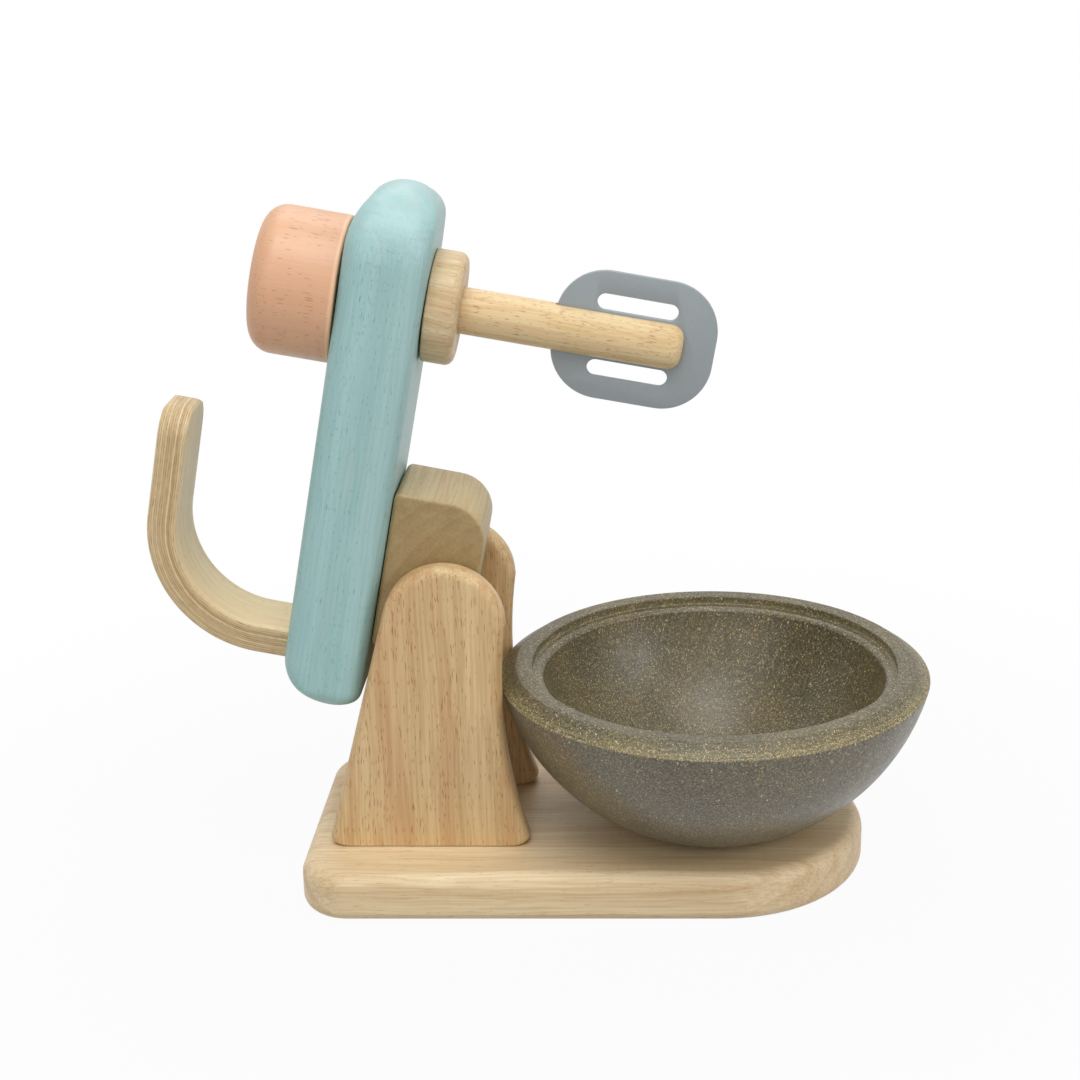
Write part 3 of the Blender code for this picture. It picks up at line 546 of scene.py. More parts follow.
def wood_group():
    """Solid wood with its grain along X: growth rings, fibres, streaks and pore dashes."""
    net, enter, leave = new_group(
        "Wood Grain",
        [
            ("Vector", "vector", None),
            ("Pith", "vector", (0.0, 0.05, -0.03)),
            ("Light", "colour", (0.8, 0.6, 0.4, 1.0)),
            ("Dark", "colour", (0.6, 0.4, 0.2, 1.0)),
            ("Pore", "colour", (0.3, 0.15, 0.08, 1.0)),
            ("Blush", "colour", (0.6, 0.3, 0.2, 1.0)),
            ("Ring Spacing", "value", 0.006),
            ("Wander", "value", 0.008),
            ("Ring Depth", "value", 0.5),
            ("Streak Depth", "value", 0.5),
            ("Blush Depth", "value", 0.2),
            ("Pore Amount", "value", 0.5),
            ("Pore Depth", "value", 0.7),
            ("Pore Size", "value", 1.0),
        ],
        [("Color", "colour"), ("Height", "value"), ("Dullness", "value")],
    )
    vector = enter["Vector"]
    wander = net.noise(net.vector("MULTIPLY", vector, (13.0, 42.0, 42.0)), 2.0).outputs["Color"]
    sideways = net.add("CombineXYZ", {1: enter["Wander"], 2: enter["Wander"]}).outputs[0]
    wander = net.vector("MULTIPLY", net.vector("SUBTRACT", wander, (0.5, 0.5, 0.5)), sideways)
    bent = net.vector("ADD", vector, wander)
    from_pith = net.vector("MULTIPLY", net.vector("SUBTRACT", bent, enter["Pith"]), (0.0, 1.0, 1.0))
    rings = net.math("DIVIDE", net.vector("LENGTH", from_pith), enter["Ring Spacing"])
    share = net.math("FRACT", rings)
    late = net.math("POWER", share, 2.2)
    late = net.math("MULTIPLY", late, net.spread(share, 0.86, 1.0, 1.0, 0.0))
    fine = net.fac(bent, (28.0, 1500.0, 1500.0), 3.0, 0.6)
    broad = net.fac(bent, (5.0, 170.0, 170.0), 2.0)
    streaks = net.math("ADD", net.spread(fine, 0.4, 0.62, 0.0, 0.6), net.spread(broad, 0.38, 0.62, 0.0, 0.4))
    shade = net.math("MULTIPLY", late, enter["Ring Depth"])
    shade = net.math("MULTIPLY_ADD", streaks, enter["Streak Depth"], shade, clamp=True)
    colour = net.mix(shade, enter["Light"], enter["Dark"])
    flow = net.noise(net.vector("MULTIPLY", bent, (7.0, 230.0, 230.0)), 2.0).outputs["Color"]
    split = net.add("SeparateColor", {0: flow}).outputs
    tone = net.fac(vector, (3.0, 34.0, 34.0), 1.0)
    blush = net.spread(split[1], 0.53, 0.68, 0.0, 0.8)
    blush = net.math("ADD", blush, net.spread(tone, 0.42, 0.58, 0.0, 0.5))
    blush = net.math("MULTIPLY", blush, enter["Blush Depth"], clamp=True)
    colour = net.mix(blush, colour, enter["Blush"])
    crowd = net.spread(split[2], 0.38, 0.62, 0.3, 1.0)
    keep = net.math("MULTIPLY", crowd, enter["Pore Amount"])
    dashes = []
    size = net.add("CombineXYZ", {axis: enter["Pore Size"] for axis in range(3)}).outputs[0]
    fitted = net.vector("DIVIDE", bent, size)
    for stretch, width in (((120.0, 2300.0, 2300.0), 0.27), ((260.0, 2900.0, 2900.0), 0.28)):
        cells = net.cells(net.vector("MULTIPLY", fitted, stretch))
        kept = net.math("LESS_THAN", net.add("SeparateColor", {0: cells.outputs["Color"]}).outputs[0], keep)
        dash = net.spread(cells.outputs["Distance"], width * 0.45, width, 1.0, 0.0)
        dashes.append(net.math("MULTIPLY", dash, kept))
    pores = net.math("MAXIMUM", *dashes)
    colour = net.mix(net.math("MULTIPLY", pores, enter["Pore Depth"]), colour, enter["Pore"])
    net.put(leave["Color"], colour)
    height = net.math("MULTIPLY_ADD", pores, -1.0, net.math("MULTIPLY", fine, 0.6))
    net.put(leave["Height"], height)
    net.put(leave["Dullness"], net.math("MULTIPLY_ADD", pores, 0.6, net.math("MULTIPLY", fine, 0.7)))
    return net.tree


def fleck_group():
    """Pressed composite: soft mottling under short fibres that lie every way."""
    net, enter, leave = new_group(
        "Fibre Flecks",
        [
            ("Vector", "vector", None),
            ("Base", "colour", (0.1, 0.1, 0.1, 1.0)),
            ("Gold", "colour", (0.5, 0.4, 0.2, 1.0)),
            ("Pale", "colour", (0.7, 0.6, 0.4, 1.0)),
            ("Amount", "value", 0.4),
        ],
        [("Color", "colour"), ("Height", "value")],
    )
    vector = enter["Vector"]
    mottle = net.fac(vector, (1500.0, 1500.0, 1500.0), 4.0, 0.7)
    cloud = net.fac(vector, (46.0, 46.0, 46.0), 2.0)
    dark = net.mix(0.4, enter["Base"], (0.0, 0.0, 0.0, 1.0))
    light = net.mix(0.13, enter["Base"], enter["Pale"])
    colour = net.mix(net.spread(mottle, 0.34, 0.68), dark, light)
    colour = net.mix(net.spread(cloud, 0.3, 0.75, 0.0, 0.05), colour, enter["Gold"])
    amount = net.math("MULTIPLY", enter["Amount"], net.spread(cloud, 0.3, 0.7, 0.85, 1.1))
    raised = []
    layers = (
        ((0.3, 0.9, 0.2), (540.0, 2800.0, 2800.0), "Gold", 0.38, 0.9),
        ((1.9, 0.4, 1.3), (680.0, 3300.0, 3300.0), "Gold", 0.38, 0.9),
        ((0.8, 2.3, 2.6), (740.0, 3100.0, 3100.0), "Pale", 0.34, 0.7),
        ((2.7, 1.4, 0.7), (1100.0, 4000.0, 4000.0), "Pale", 0.40, 0.9),
        ((1.2, 2.9, 1.7), (420.0, 2000.0, 2000.0), "Pale", 0.34, 0.35),
    )
    bend = net.noise(net.vector("MULTIPLY", vector, (900.0, 900.0, 900.0)), 1.0).outputs["Color"]
    bend = net.vector("MULTIPLY", net.vector("SUBTRACT", bend, (0.5, 0.5, 0.5)), (0.0002, 0.0002, 0.0002))
    curled = net.vector("ADD", vector, bend)
    for angles, stretch, shade, width, share in layers:
        spun = net.add("VectorRotate", {"Vector": curled, "Rotation": angles}, rotation_type="EULER_XYZ")
        cells = net.cells(net.vector("MULTIPLY", spun.outputs[0], stretch))
        drawn = net.add("SeparateColor", {0: cells.outputs["Color"]}).outputs
        kept = net.math("LESS_THAN", drawn[0], net.math("MULTIPLY", amount, share))
        fleck = net.spread(cells.outputs["Distance"], width * 0.65, width, 1.0, 0.0)
        fleck = net.math("MULTIPLY", fleck, kept)
        fleck = net.math("MULTIPLY", fleck, net.spread(drawn[1], 0.2, 0.9, 0.12, 1.0))
        colour = net.mix(fleck, colour, enter[shade])
        raised.append(fleck)
    net.put(leave["Color"], colour)
    net.put(leave["Height"], net.math("ADD", mottle, net.math("MAXIMUM", raised[0], raised[2])))
    return net.tree


def ply_group():
    """Plies across a strip from its UV map: long-grain and cross-grain layers and glue lines."""
    net, enter, leave = new_group(
        "Plies",
        [
            ("UV", "vector", None),
            ("Along", "colour", None),
            ("Across", "colour", None),
            ("Count", "value", 9.0),
        ],
        [("Color", "colour"), ("Height", "value")],
    )
    place_uv = net.add("SeparateXYZ", {0: enter["UV"]}).outputs
    sway = net.noise(net.vector("MULTIPLY", enter["UV"], (90.0, 2.0, 0.0)), 1.0).outputs["Fac"]
    rise = net.math("MULTIPLY_ADD", net.math("SUBTRACT", sway, 0.5), 0.05, place_uv[1])
    rise = net.math("MINIMUM", net.math("MAXIMUM", rise, 0.01), 0.99)
    level = net.math("MULTIPLY", rise, enter["Count"])
    index = net.math("FLOOR", level)
    odd = net.math("MODULO", index, 2.0)
    drawn = net.add("TexWhiteNoise", {"W": index}, noise_dimensions="1D").outputs["Value"]
    shift = net.math("MULTIPLY", odd, 0.5)
    odd = net.math("MULTIPLY_ADD", net.math("SUBTRACT", drawn, 0.45), 1.1, shift, clamp=True)
    away = net.math("ABSOLUTE", net.math("SUBTRACT", net.math("FRACT", level), 0.5))
    inner = net.spread(net.math("ABSOLUTE", net.math("SUBTRACT", place_uv[1], 0.5)), 0.43, 0.46, 1.0, 0.0)
    colour = net.mix(net.math("MULTIPLY", odd, inner), enter["Along"], enter["Across"])
    along = net.math("MULTIPLY_ADD", index, 7.3, net.math("MULTIPLY", place_uv[0], 260.0))
    patchy = net.noise(net.add("CombineXYZ", {0: along, 1: index}).outputs[0], 3.0).outputs["Fac"]
    glue = net.math("MULTIPLY", net.spread(away, 0.28, 0.48), net.spread(patchy, 0.42, 0.62, 0.15, 0.85))
    glue = net.math("MULTIPLY", glue, inner)
    colour = net.mix(glue, colour, (0.17, 0.1, 0.045, 1.0))
    net.put(leave["Color"], colour)
    net.put(leave["Height"], net.math("MULTIPLY", glue, -1.0))
    return net.tree


def shared_group(name, make):
    return bpy.data.node_groups.get(name) or make()


def new_material(name, **constants):
    material = bpy.data.materials.new(name)
    material.use_nodes = True
    net = Net(material.node_tree)
    shader = material.node_tree.nodes["Principled BSDF"]
    for socket, value in constants.items():
        shader.inputs[socket.replace("_", " ")].default_value = value
    return material, net, shader


def mapped(net, centre=(0.0, 0.0, 0.0), turns=(0.0, 0.0, 0.0)):
    """Object coordinates seen from a centre and turned, so that the grain runs along X."""
    coordinates = net.add("TexCoord").outputs["Object"]
    inputs = {"Vector": coordinates, "Location": centre, "Rotation": turns}
    return net.add("Mapping", inputs, vector_type="TEXTURE").outputs[0]


def use_group(net, name, make, values):
    made = net.add("Group", node_tree=shared_group(name, make))
    for label, value in values.items():
        net.put(made.inputs[label], value)
    return made


def wood_material(name, centre, turns, values, rough=(0.42, 0.62), gloss=0.5):
    material, net, shader = new_material(name, Specular_IOR_Level=gloss)
    values = {"Vector": mapped(net, centre, turns), **values}
    grain = use_group(net, "Wood Grain", wood_group, values)
    net.put(shader.inputs["Base Color"], grain.outputs["Color"])
    dull = net.spread(grain.outputs["Dullness"], 0.2, 0.9, *rough)
    net.put(shader.inputs["Roughness"], dull)
    net.bump(shader, grain.outputs["Height"], 0.5, 0.00012)
    return material


def plain_wood(name, light, dark, centre, turns, **values):
    finishes = bpy.context.scene.toy_mixer_finishes
    looks = {
        "Light": solid(light),
        "Dark": solid(dark),
        "Pore": solid(finishes.pore),
        "Blush": solid(linear(188, 128, 80)),
    }
    looks.update({label.replace("_", " "): value for label, value in values.items()})
    return wood_material(name, centre, turns, looks)


# Operators


class Builder(bpy.types.Operator):
    """Shared settings of the building operators"""

    bl_options = {"REGISTER", "UNDO"}

    def execute(self, context):
        self.build(context.scene)
        return {"FINISHED"}


class OBJECT_OT_toy_mixer_base(Builder):
    """Builds the base board"""

    bl_idname = "object.toy_mixer_base"
    bl_label = "Base Board"

    def build(self, scene):
        sizes, finishes = scene.toy_mixer_stand, scene.toy_mixer_finishes
        low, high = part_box("base_board")
        edit = block(low, high)
        nose = (high.y - low.y - sizes.base_nose_flat) / 2
        for side, radius, segments in ((-1, sizes.base_rear_radius, 20), (1, nose, 56)):
            upright = [
                e for e in edit.edges
                if abs(e.verts[0].co.z - e.verts[1].co.z) > MERGE
                and all(v.co.x * side > 0 and abs(abs(v.co.y) - high.y) < MERGE for v in e.verts)
            ]
            round_edges(edit, upright, radius, segments)
        rims = sharp_edges(edit, SQUARE_TURN)
        round_edges(edit, rims, sizes.base_edge_radius, 10)
        flatten_shading(edit, 0.005, 0.0008)
        material = plain_wood(
            "Base Board Wood", finishes.board_light, finishes.board_dark, (0.0, 0.0, 0.0), (0.0, 0.0, 0.0),
            Pith=(0.0, 0.012, -0.035), Ring_Spacing=0.0052, Ring_Depth=0.42, Streak_Depth=0.65, Wander=0.005,
            Blush_Depth=0.12, Pore_Amount=0.3, Pore_Depth=0.5, Pore_Size=0.8,
        )
        add_piece("base_board_round", edit, material, "stand", ["base_board"])


class OBJECT_OT_toy_mixer_supports(Builder):
    """Builds the two side supports"""

    bl_idname = "object.toy_mixer_supports"
    bl_label = "Side Supports"

    def outline(self, sizes, inset, foot):
        """Points round a support from the pivot, drawn in by an inset except at its foot."""
        top, slope = sizes.top_radius - inset, sizes.rear_slope
        waist_z = sizes.waist_height - PIVOT.z
        waist_x, waist_radius = sizes.waist_reach + sizes.waist_radius, sizes.waist_radius + inset
        level = foot + sizes.foot_radius
        low_turn = math.degrees(math.asin((waist_z - level) / waist_radius))
        top_turn = math.degrees(math.asin(-waist_z / waist_radius))
        points = arc(waist_x, waist_z, waist_radius, 180 + low_turn, 180 - top_turn, 32)
        start = math.degrees(math.acos(min(points[-1][0] / top, 1)))
        end = 180 - math.degrees(slope)
        points += arc(0, 0, top, start, end, 48)
        edge = Vector((-math.cos(slope), math.sin(slope))) * (top + sizes.rear_step)
        down = Vector((-math.sin(slope), -math.cos(slope)))
        corner = edge + down * ((edge.y - level) / -down.y)
        corner_x = corner.x + sizes.foot_radius * math.cos(slope)
        points += arc(corner_x, level, sizes.foot_radius, end, 270, 8)
        points += arc(points[0][0] - sizes.foot_radius, level, sizes.foot_radius, 270, 360, 8)[:-1]
        return points

    def build(self, scene):
        sizes, finishes = scene.toy_mixer_stand, scene.toy_mixer_finishes
        low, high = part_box("side_support_left")
        half = (high.y - low.y) / 2
        foot = low.z - PIVOT.z
        steps = depths(sizes.edge_radius, 8)
        sides = [(-half + d, inset_at(d, sizes.edge_radius)) for d in steps]
        sides += [(half - d, inset_at(d, sizes.edge_radius)) for d in reversed(steps)]
        for name, side in (("right", -1), ("left", 1)):
            middle = Vector((PIVOT.x, side * (low.y + high.y) / 2, PIVOT.z))
            rings = [[(x, y, z) for x, z in self.outline(sizes, inset, foot)] for y, inset in sides]
            edit = place(loft(rings), Matrix.Translation(middle))
            flatten_shading(edit, 0.001, 0.0006)
            material = plain_wood(
                f"Support Wood {name.title()}", finishes.support_light, finishes.support_dark,
                (-0.055, 0.11 * side, 0.02), (0.0, -math.pi / 2, 0.0),
                Pith=(0.0, 0.03, 0.006), Ring_Spacing=0.0085, Ring_Depth=0.28, Streak_Depth=0.75,
                Wander=0.004, Blush_Depth=0.4, Pore_Amount=0.7, Pore_Depth=0.9, Pore_Size=0.95,
            )
            add_piece(
                f"side_support_{name}_round", edit, material, "stand", [f"side_support_{name}"]
            )


class OBJECT_OT_toy_mixer_head(Builder):
    """Builds the stained head with its bore and mortise"""

    bl_idname = "object.toy_mixer_head"
    bl_label = "Head"

    def ring(self, sizes, x, half_width, low, high):
        radius = min(sizes.edge_radius, half_width, (high - low) / 2)
        points = arc(-half_width + radius, low + radius, radius, 180, 270, 8)
        points += arc(half_width - radius, low + radius, radius, 270, 360, 8)
        points += arc(half_width - radius, high - radius, radius, 0, 90, 8)
        points += arc(-half_width + radius, high - radius, radius, 90, 180, 8)
        return [(x, y, z) for y, z in points]

    def station(self, sizes, end, way, depth, plan, under, top, run):
        return self.ring(
            sizes,
            end - way * depth,
            sizes.width / 2 - inset_at(depth, plan),
            sizes.lift + inset_at(depth, under),
            sizes.lift + sizes.thickness - inset_at(depth * top / run, top),
        )

    def build(self, scene):
        sizes, finishes = scene.toy_mixer_head, scene.toy_mixer_finishes
        handle, beater = scene.toy_mixer_handle, scene.toy_mixer_beater
        rings = []
        for depth in depths(max(sizes.rear_top, sizes.rear_plan), 24):
            corners = (sizes.rear_plan, sizes.rear_under, sizes.rear_top, sizes.rear_top)
            rings.append(self.station(sizes, -sizes.rear_reach, -1, depth, *corners))
        plan = (sizes.width - sizes.nose_flat) / 2
        for depth in reversed(depths(plan, 32)):
            corners = (plan, sizes.front_under, sizes.front_top, sizes.front_run)
            rings.append(self.station(sizes, sizes.front_reach, 1, depth, *corners))
        edit = place(loft(rings), HEAD_FRAME)
        bore = place(rod(beater.dowel_radius + 2 * CLEAR, -sizes.thickness, sizes.thickness), BEATER_FRAME)
        top = sizes.lift + sizes.thickness
        thick, wide = handle.thickness / 2 + CLEAR, handle.width / 2 + CLEAR
        mortise = block(
            (-handle.centre - thick, -wide, top - handle.tenon - CLEAR),
            (-handle.centre + thick, wide, top + CLEAR),
        )
        edit = carve(edit, bore, place(mortise, HEAD_FRAME))
        material = wood_material(
            "Teal Stained Wood", PIVOT, (0.0, -RAISED, 0.0),
            {
                "Light": solid(finishes.teal_light),
                "Dark": solid(finishes.teal_dark),
                "Pore": solid(finishes.teal_pore),
                "Blush": solid(linear(172, 176, 180)),
                "Pith": (0.0, 0.05, -0.02),
                "Ring Spacing": 0.0075,
                "Ring Depth": 0.16,
                "Streak Depth": 0.42,
                "Blush Depth": 0.35,
                "Pore Amount": 0.3,
                "Pore Depth": 0.7,
                "Pore Size": 0.56,
                "Wander": 0.005,
            },
            rough=(0.42, 0.54),
            gloss=0.75,
        )
        calm_ends(material, Vector((math.cos(RAISED), 0.0, math.sin(RAISED))))
        add_piece("head_round", edit, material, "tilt_head", ["head"])


class OBJECT_OT_toy_mixer_block(Builder):
    """Builds the tilt block under the head"""

    bl_idname = "object.toy_mixer_block"
    bl_label = "Tilt Block"

    def build(self, scene):
        sizes, finishes = scene.toy_mixer_head, scene.toy_mixer_finishes
        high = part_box("tilt_block")[1]
        rear, front = -sizes.block_rear, sizes.block_front
        floor, top = -sizes.block_drop, sizes.lift - CLEAR
        back, nose, lid = sizes.block_rear_radius, sizes.block_front_radius, sizes.block_top_radius
        outline = Outline(rear, floor + back).bend(rear + back, floor + back, 90, 12)
        outline.line(front - nose, floor).bend(front - nose, floor + nose, 90, 24)
        outline.line(front, top - lid).bend(front - lid, top - lid, 90, 8)
        outline.line(rear + lid, top).bend(rear + lid, top - lid, 90, 8).line(rear, floor + back)
        edit = plate(outline.edit, high.y)
        round_edges(edit, sharp_edges(edit, SQUARE_TURN), sizes.block_edge, 4)
        flatten_shading(edit, 0.0004, 0.0004)
        place(edit, HEAD_FRAME)
        material = plain_wood(
            "End Grain Wood", finishes.block_light, finishes.block_dark, PIVOT, (0.0, 0.0, math.pi / 2),
            Pith=(0.0, -0.035, -0.025), Ring_Spacing=0.0042, Ring_Depth=0.3, Streak_Depth=0.5, Wander=0.003,
            Blush_Depth=0.12, Pore_Amount=0.7, Pore_Depth=0.5, Pore_Size=0.6,
        )
        darken_ends(material)
        add_piece("tilt_block_round", edit, material, "tilt_head", ["tilt_block"])


class OBJECT_OT_toy_mixer_handle(Builder):
    """Builds the bent plywood handle with a UV map along and across its plies"""

    bl_idname = "object.toy_mixer_handle"
    bl_label = "Handle"

    def map_plies(self, edit, sizes, top):
        """U runs along the strip in metres and V across it from the outer face to the inner."""
        layer = edit.loops.layers.uv.new("Plies")
        radius = sizes.bend_radius
        centre = Vector((radius - sizes.centre, top + sizes.run))
        for face in edit.faces:
            for loop in face.loops:
                point = Vector((loop.vert.co.x, loop.vert.co.z)) - centre
                if point.y < 0:
                    along, out = point.y, -point.x
                elif point.x > 0:
                    along, out = radius * math.pi / 2 + point.x, point.y
                else:
                    along, out = radius * math.atan2(point.y, -point.x), point.length
                across = (out - radius) / sizes.thickness + 0.5
                loop[layer].uv = (along, across)

    def ring(self, sizes, middle, out, depth):
        """Cross-section at a point of the strip, this deep in from the tip."""
        half = sizes.thickness / 2 - inset_at(depth, sizes.tip_radius)
        wide = sizes.width / 2 - inset_at(depth, sizes.tip_corner)
        soft = min(sizes.edge_radius, half)
        corners = ((half, -wide, 270), (half, wide, 0), (-half, wide, 90), (-half, -wide, 180))
        points = []
        for level, side, start in corners:
            near = level - math.copysign(soft, level), side - math.copysign(soft, side)
            points += arc(*near, soft, start, start + 90, 5)
        return [(middle.x + out.x * t, y, middle.y + out.y * t) for t, y in points]

    def build(self, scene):
        sizes, finishes = scene.toy_mixer_handle, scene.toy_mixer_finishes
        head = scene.toy_mixer_head
        top = head.lift + head.thickness
        centre = Vector((sizes.bend_radius - sizes.centre, top + sizes.run))
        full = max(sizes.tip_radius, sizes.tip_corner)
        stations = []
        for height in (top - sizes.tenon, top, top + sizes.run / 2):
            stations.append((Vector((-sizes.centre, height)), Vector((-1, 0)), full))
        for step in range(65):
            angle = math.pi / 2 * step / 64
            out = Vector((-math.cos(angle), math.sin(angle)))
            stations.append((centre + out * sizes.bend_radius, out, full))
        arm = centre.y + sizes.bend_radius
        for depth in reversed(depths(full, 16)):
            stations.append((Vector((sizes.tip - depth, arm)), Vector((0, 1)), depth))
        edit = loft([self.ring(sizes, *station) for station in stations])
        self.map_plies(edit, sizes, top)
        place(edit, HEAD_FRAME)
        material, net, shader = new_material("Plywood", Roughness=0.5)
        uv = net.add("UVMap", uv_map="Plies").outputs[0]
        parts = net.add("SeparateXYZ", {0: uv}).outputs
        side = net.add("SeparateXYZ", {0: mapped(net)}).outputs[1]
        inputs = {0: parts[0], 1: side, 2: net.math("MULTIPLY", parts[1], sizes.thickness)}
        grain_place = net.add("CombineXYZ", inputs).outputs[0]
        looks = {"Vector": grain_place, "Pith": (0.0, 0.02, -0.03), "Ring Spacing": 0.006}
        looks.update({"Ring Depth": 0.3, "Streak Depth": 0.5, "Blush Depth": 0.1, "Pore Amount": 0.4})
        looks["Pore Size"] = 0.7
        looks.update({"Pore": solid(finishes.pore), "Pore Depth": 0.5, "Blush": solid(linear(214, 160, 110))})
        along = {**looks, "Light": solid(finishes.ply_light), "Dark": solid(linear(208, 178, 128))}
        along = use_group(net, "Wood Grain", wood_group, along)
        across = {**looks, "Light": solid(finishes.ply_dark), "Dark": solid(linear(160, 128, 84))}
        across = use_group(net, "Wood Grain", wood_group, across)
        values = {"UV": uv, "Along": along.outputs["Color"], "Across": across.outputs["Color"]}
        values["Count"] = float(sizes.plies)
        plies = use_group(net, "Plies", ply_group, values)
        net.put(shader.inputs["Base Color"], plies.outputs["Color"])
        height = net.math("ADD", plies.outputs["Height"], along.outputs["Height"])
        net.bump(shader, height, 0.4, 0.0001)
        net.put(shader.inputs["Roughness"], net.spread(along.outputs["Dullness"], 0.2, 0.9, 0.42, 0.6))
        add_piece("handle_bent", edit, material, "tilt_head", ["handle"])


class OBJECT_OT_toy_mixer_knob(Builder):
    """Builds the stained knob and its washer"""

    bl_idname = "object.toy_mixer_knob"
    bl_label = "Knob"

    def build(self, scene):
        sizes, finishes = scene.toy_mixer_beater, scene.toy_mixer_finishes
        bore = sizes.dowel_radius + CLEAR
        base, floor = sizes.seat, sizes.seat + sizes.washer + CLEAR
        recess = sizes.knob_washer + CLEAR
        top, rim, edge = base + sizes.knob_height, sizes.knob_rim, sizes.knob_edge
        outline = Outline(0, base + sizes.knob_bore).line(bore, base + sizes.knob_bore)
        foot = base - sizes.skirt
        outline.line(bore, floor).line(recess, floor).line(recess, foot)
        outline.line(sizes.knob_radius - rim, foot).bend(sizes.knob_radius - rim, foot + rim, 90, 6)
        outline.line(sizes.knob_radius, top - edge).bend(sizes.knob_radius - edge, top - edge, 90, 24)
        outline.line(0, top)
        edit = place(turned(outline), BEATER_FRAME)
        material = wood_material(
            "Peach Stained Wood", BEATER_POINT, (0.0, math.pi / 2 - BEATER_LEAN, 0.0),
            {
                "Light": solid(finishes.peach_light),
                "Dark": solid(finishes.peach_dark),
                "Pore": solid(finishes.peach_pore),
                "Blush": solid(linear(226, 146, 106)),
                "Pith": (0.0, 0.03, -0.03),
                "Ring Spacing": 0.007,
                "Ring Depth": 0.12,
                "Streak Depth": 0.3,
                "Blush Depth": 0.15,
                "Pore Amount": 0.42,
                "Pore Depth": 0.9,
                "Pore Size": 0.82,
            },
            rough=(0.4, 0.52),
            gloss=0.75,
        )
        # Painted highlight on the knob's lower rim by the head.
        paint_rim_highlight(material, -sizes.seat - RIM_HIGHLIGHT_START, -sizes.seat - RIM_HIGHLIGHT_END)
        add_piece("knob_round", edit, material, "beater", ["knob"])
        ring = ring_outline(sizes.knob_washer, bore, sizes.seat, sizes.seat + sizes.washer, WASHER_EDGE)
        washer = place(turned(ring), BEATER_FRAME)
        add_piece("knob_washer_ring", washer, rubber_material(), "beater", ["knob_washer"])


class OBJECT_OT_toy_mixer_collar(Builder):
    """Builds the collar and its washer"""

    bl_idname = "object.toy_mixer_collar"
    bl_label = "Collar"

    def build(self, scene):
        sizes, finishes = scene.toy_mixer_beater, scene.toy_mixer_finishes
        bore = sizes.dowel_radius + CLEAR
        top, floor = -sizes.seat, -sizes.seat - sizes.washer - CLEAR
        low, edge, rim = top - sizes.collar_height, sizes.collar_edge, sizes.collar_rim
        recess = sizes.collar_washer + CLEAR
        foot = top + sizes.skirt
        outline = Outline(recess, foot).line(recess, floor).line(bore, floor).line(bore, low)
        outline.line(sizes.collar_radius - edge, low).bend(sizes.collar_radius - edge, low + edge, 90, 12)
        outline.line(sizes.collar_radius, foot - rim).bend(sizes.collar_radius - rim, foot - rim, 90, 4)
        outline.line(recess, foot)
        edit = place(turned(outline), BEATER_FRAME)
        material = plain_wood(
            "Collar Wood", finishes.collar_light, finishes.collar_dark,
            BEATER_POINT + Vector((0.0, 0.02, 0.0)), (0.0, math.pi / 2 - BEATER_LEAN, 0.0),
            Pith=(0.0, 0.03, -0.02), Ring_Spacing=0.006, Ring_Depth=0.3, Streak_Depth=0.55,
            Blush_Depth=0.3, Pore_Amount=0.5, Pore_Depth=0.6, Pore_Size=0.7,
        )
        add_piece("collar_round", edit, material, "beater", ["collar"])
        far = -sizes.seat - sizes.washer
        ring = ring_outline(sizes.collar_washer, bore, far, -sizes.seat, WASHER_EDGE)
        washer = place(turned(ring), BEATER_FRAME)
        add_piece("collar_washer_ring", washer, rubber_material(), "beater", ["collar_washer"])


class OBJECT_OT_toy_mixer_dowel(Builder):
    """Builds the dowel with the saw cut that holds the paddle"""

    bl_idname = "object.toy_mixer_dowel"
    bl_label = "Beater Dowel"

    def build(self, scene):
        sizes, finishes = scene.toy_mixer_beater, scene.toy_mixer_finishes
        radius, soft, tip = sizes.dowel_radius, sizes.dowel_tip_radius, -sizes.dowel_tip
        top = sizes.seat + sizes.knob_bore - CLEAR
        outline = Outline(0, tip).line(radius - soft, tip).bend(radius - soft, tip + soft, 90, 16)
        outline.line(radius, top).line(0, top)
        half = sizes.paddle_thickness / 2 + CLEAR
        cut = block((-2 * radius, -half, tip - radius), (2 * radius, half, -sizes.paddle_top + CLEAR))
        edit = place(carve(turned(outline, 96), cut), BEATER_FRAME)
        material = plain_wood(
            "Dowel Wood", finishes.dowel_light, finishes.dowel_dark,
            BEATER_POINT, (0.0, math.pi / 2 - BEATER_LEAN, 0.0),
            Pith=(0.0, 0.015, -0.02), Ring_Spacing=0.0065, Ring_Depth=0.35, Streak_Depth=0.6,
            Blush_Depth=0.2, Pore_Amount=0.85, Pore_Depth=0.9, Pore_Size=0.75,
        )
        add_piece("beater_dowel_sawn", edit, material, "beater", ["beater_dowel"])


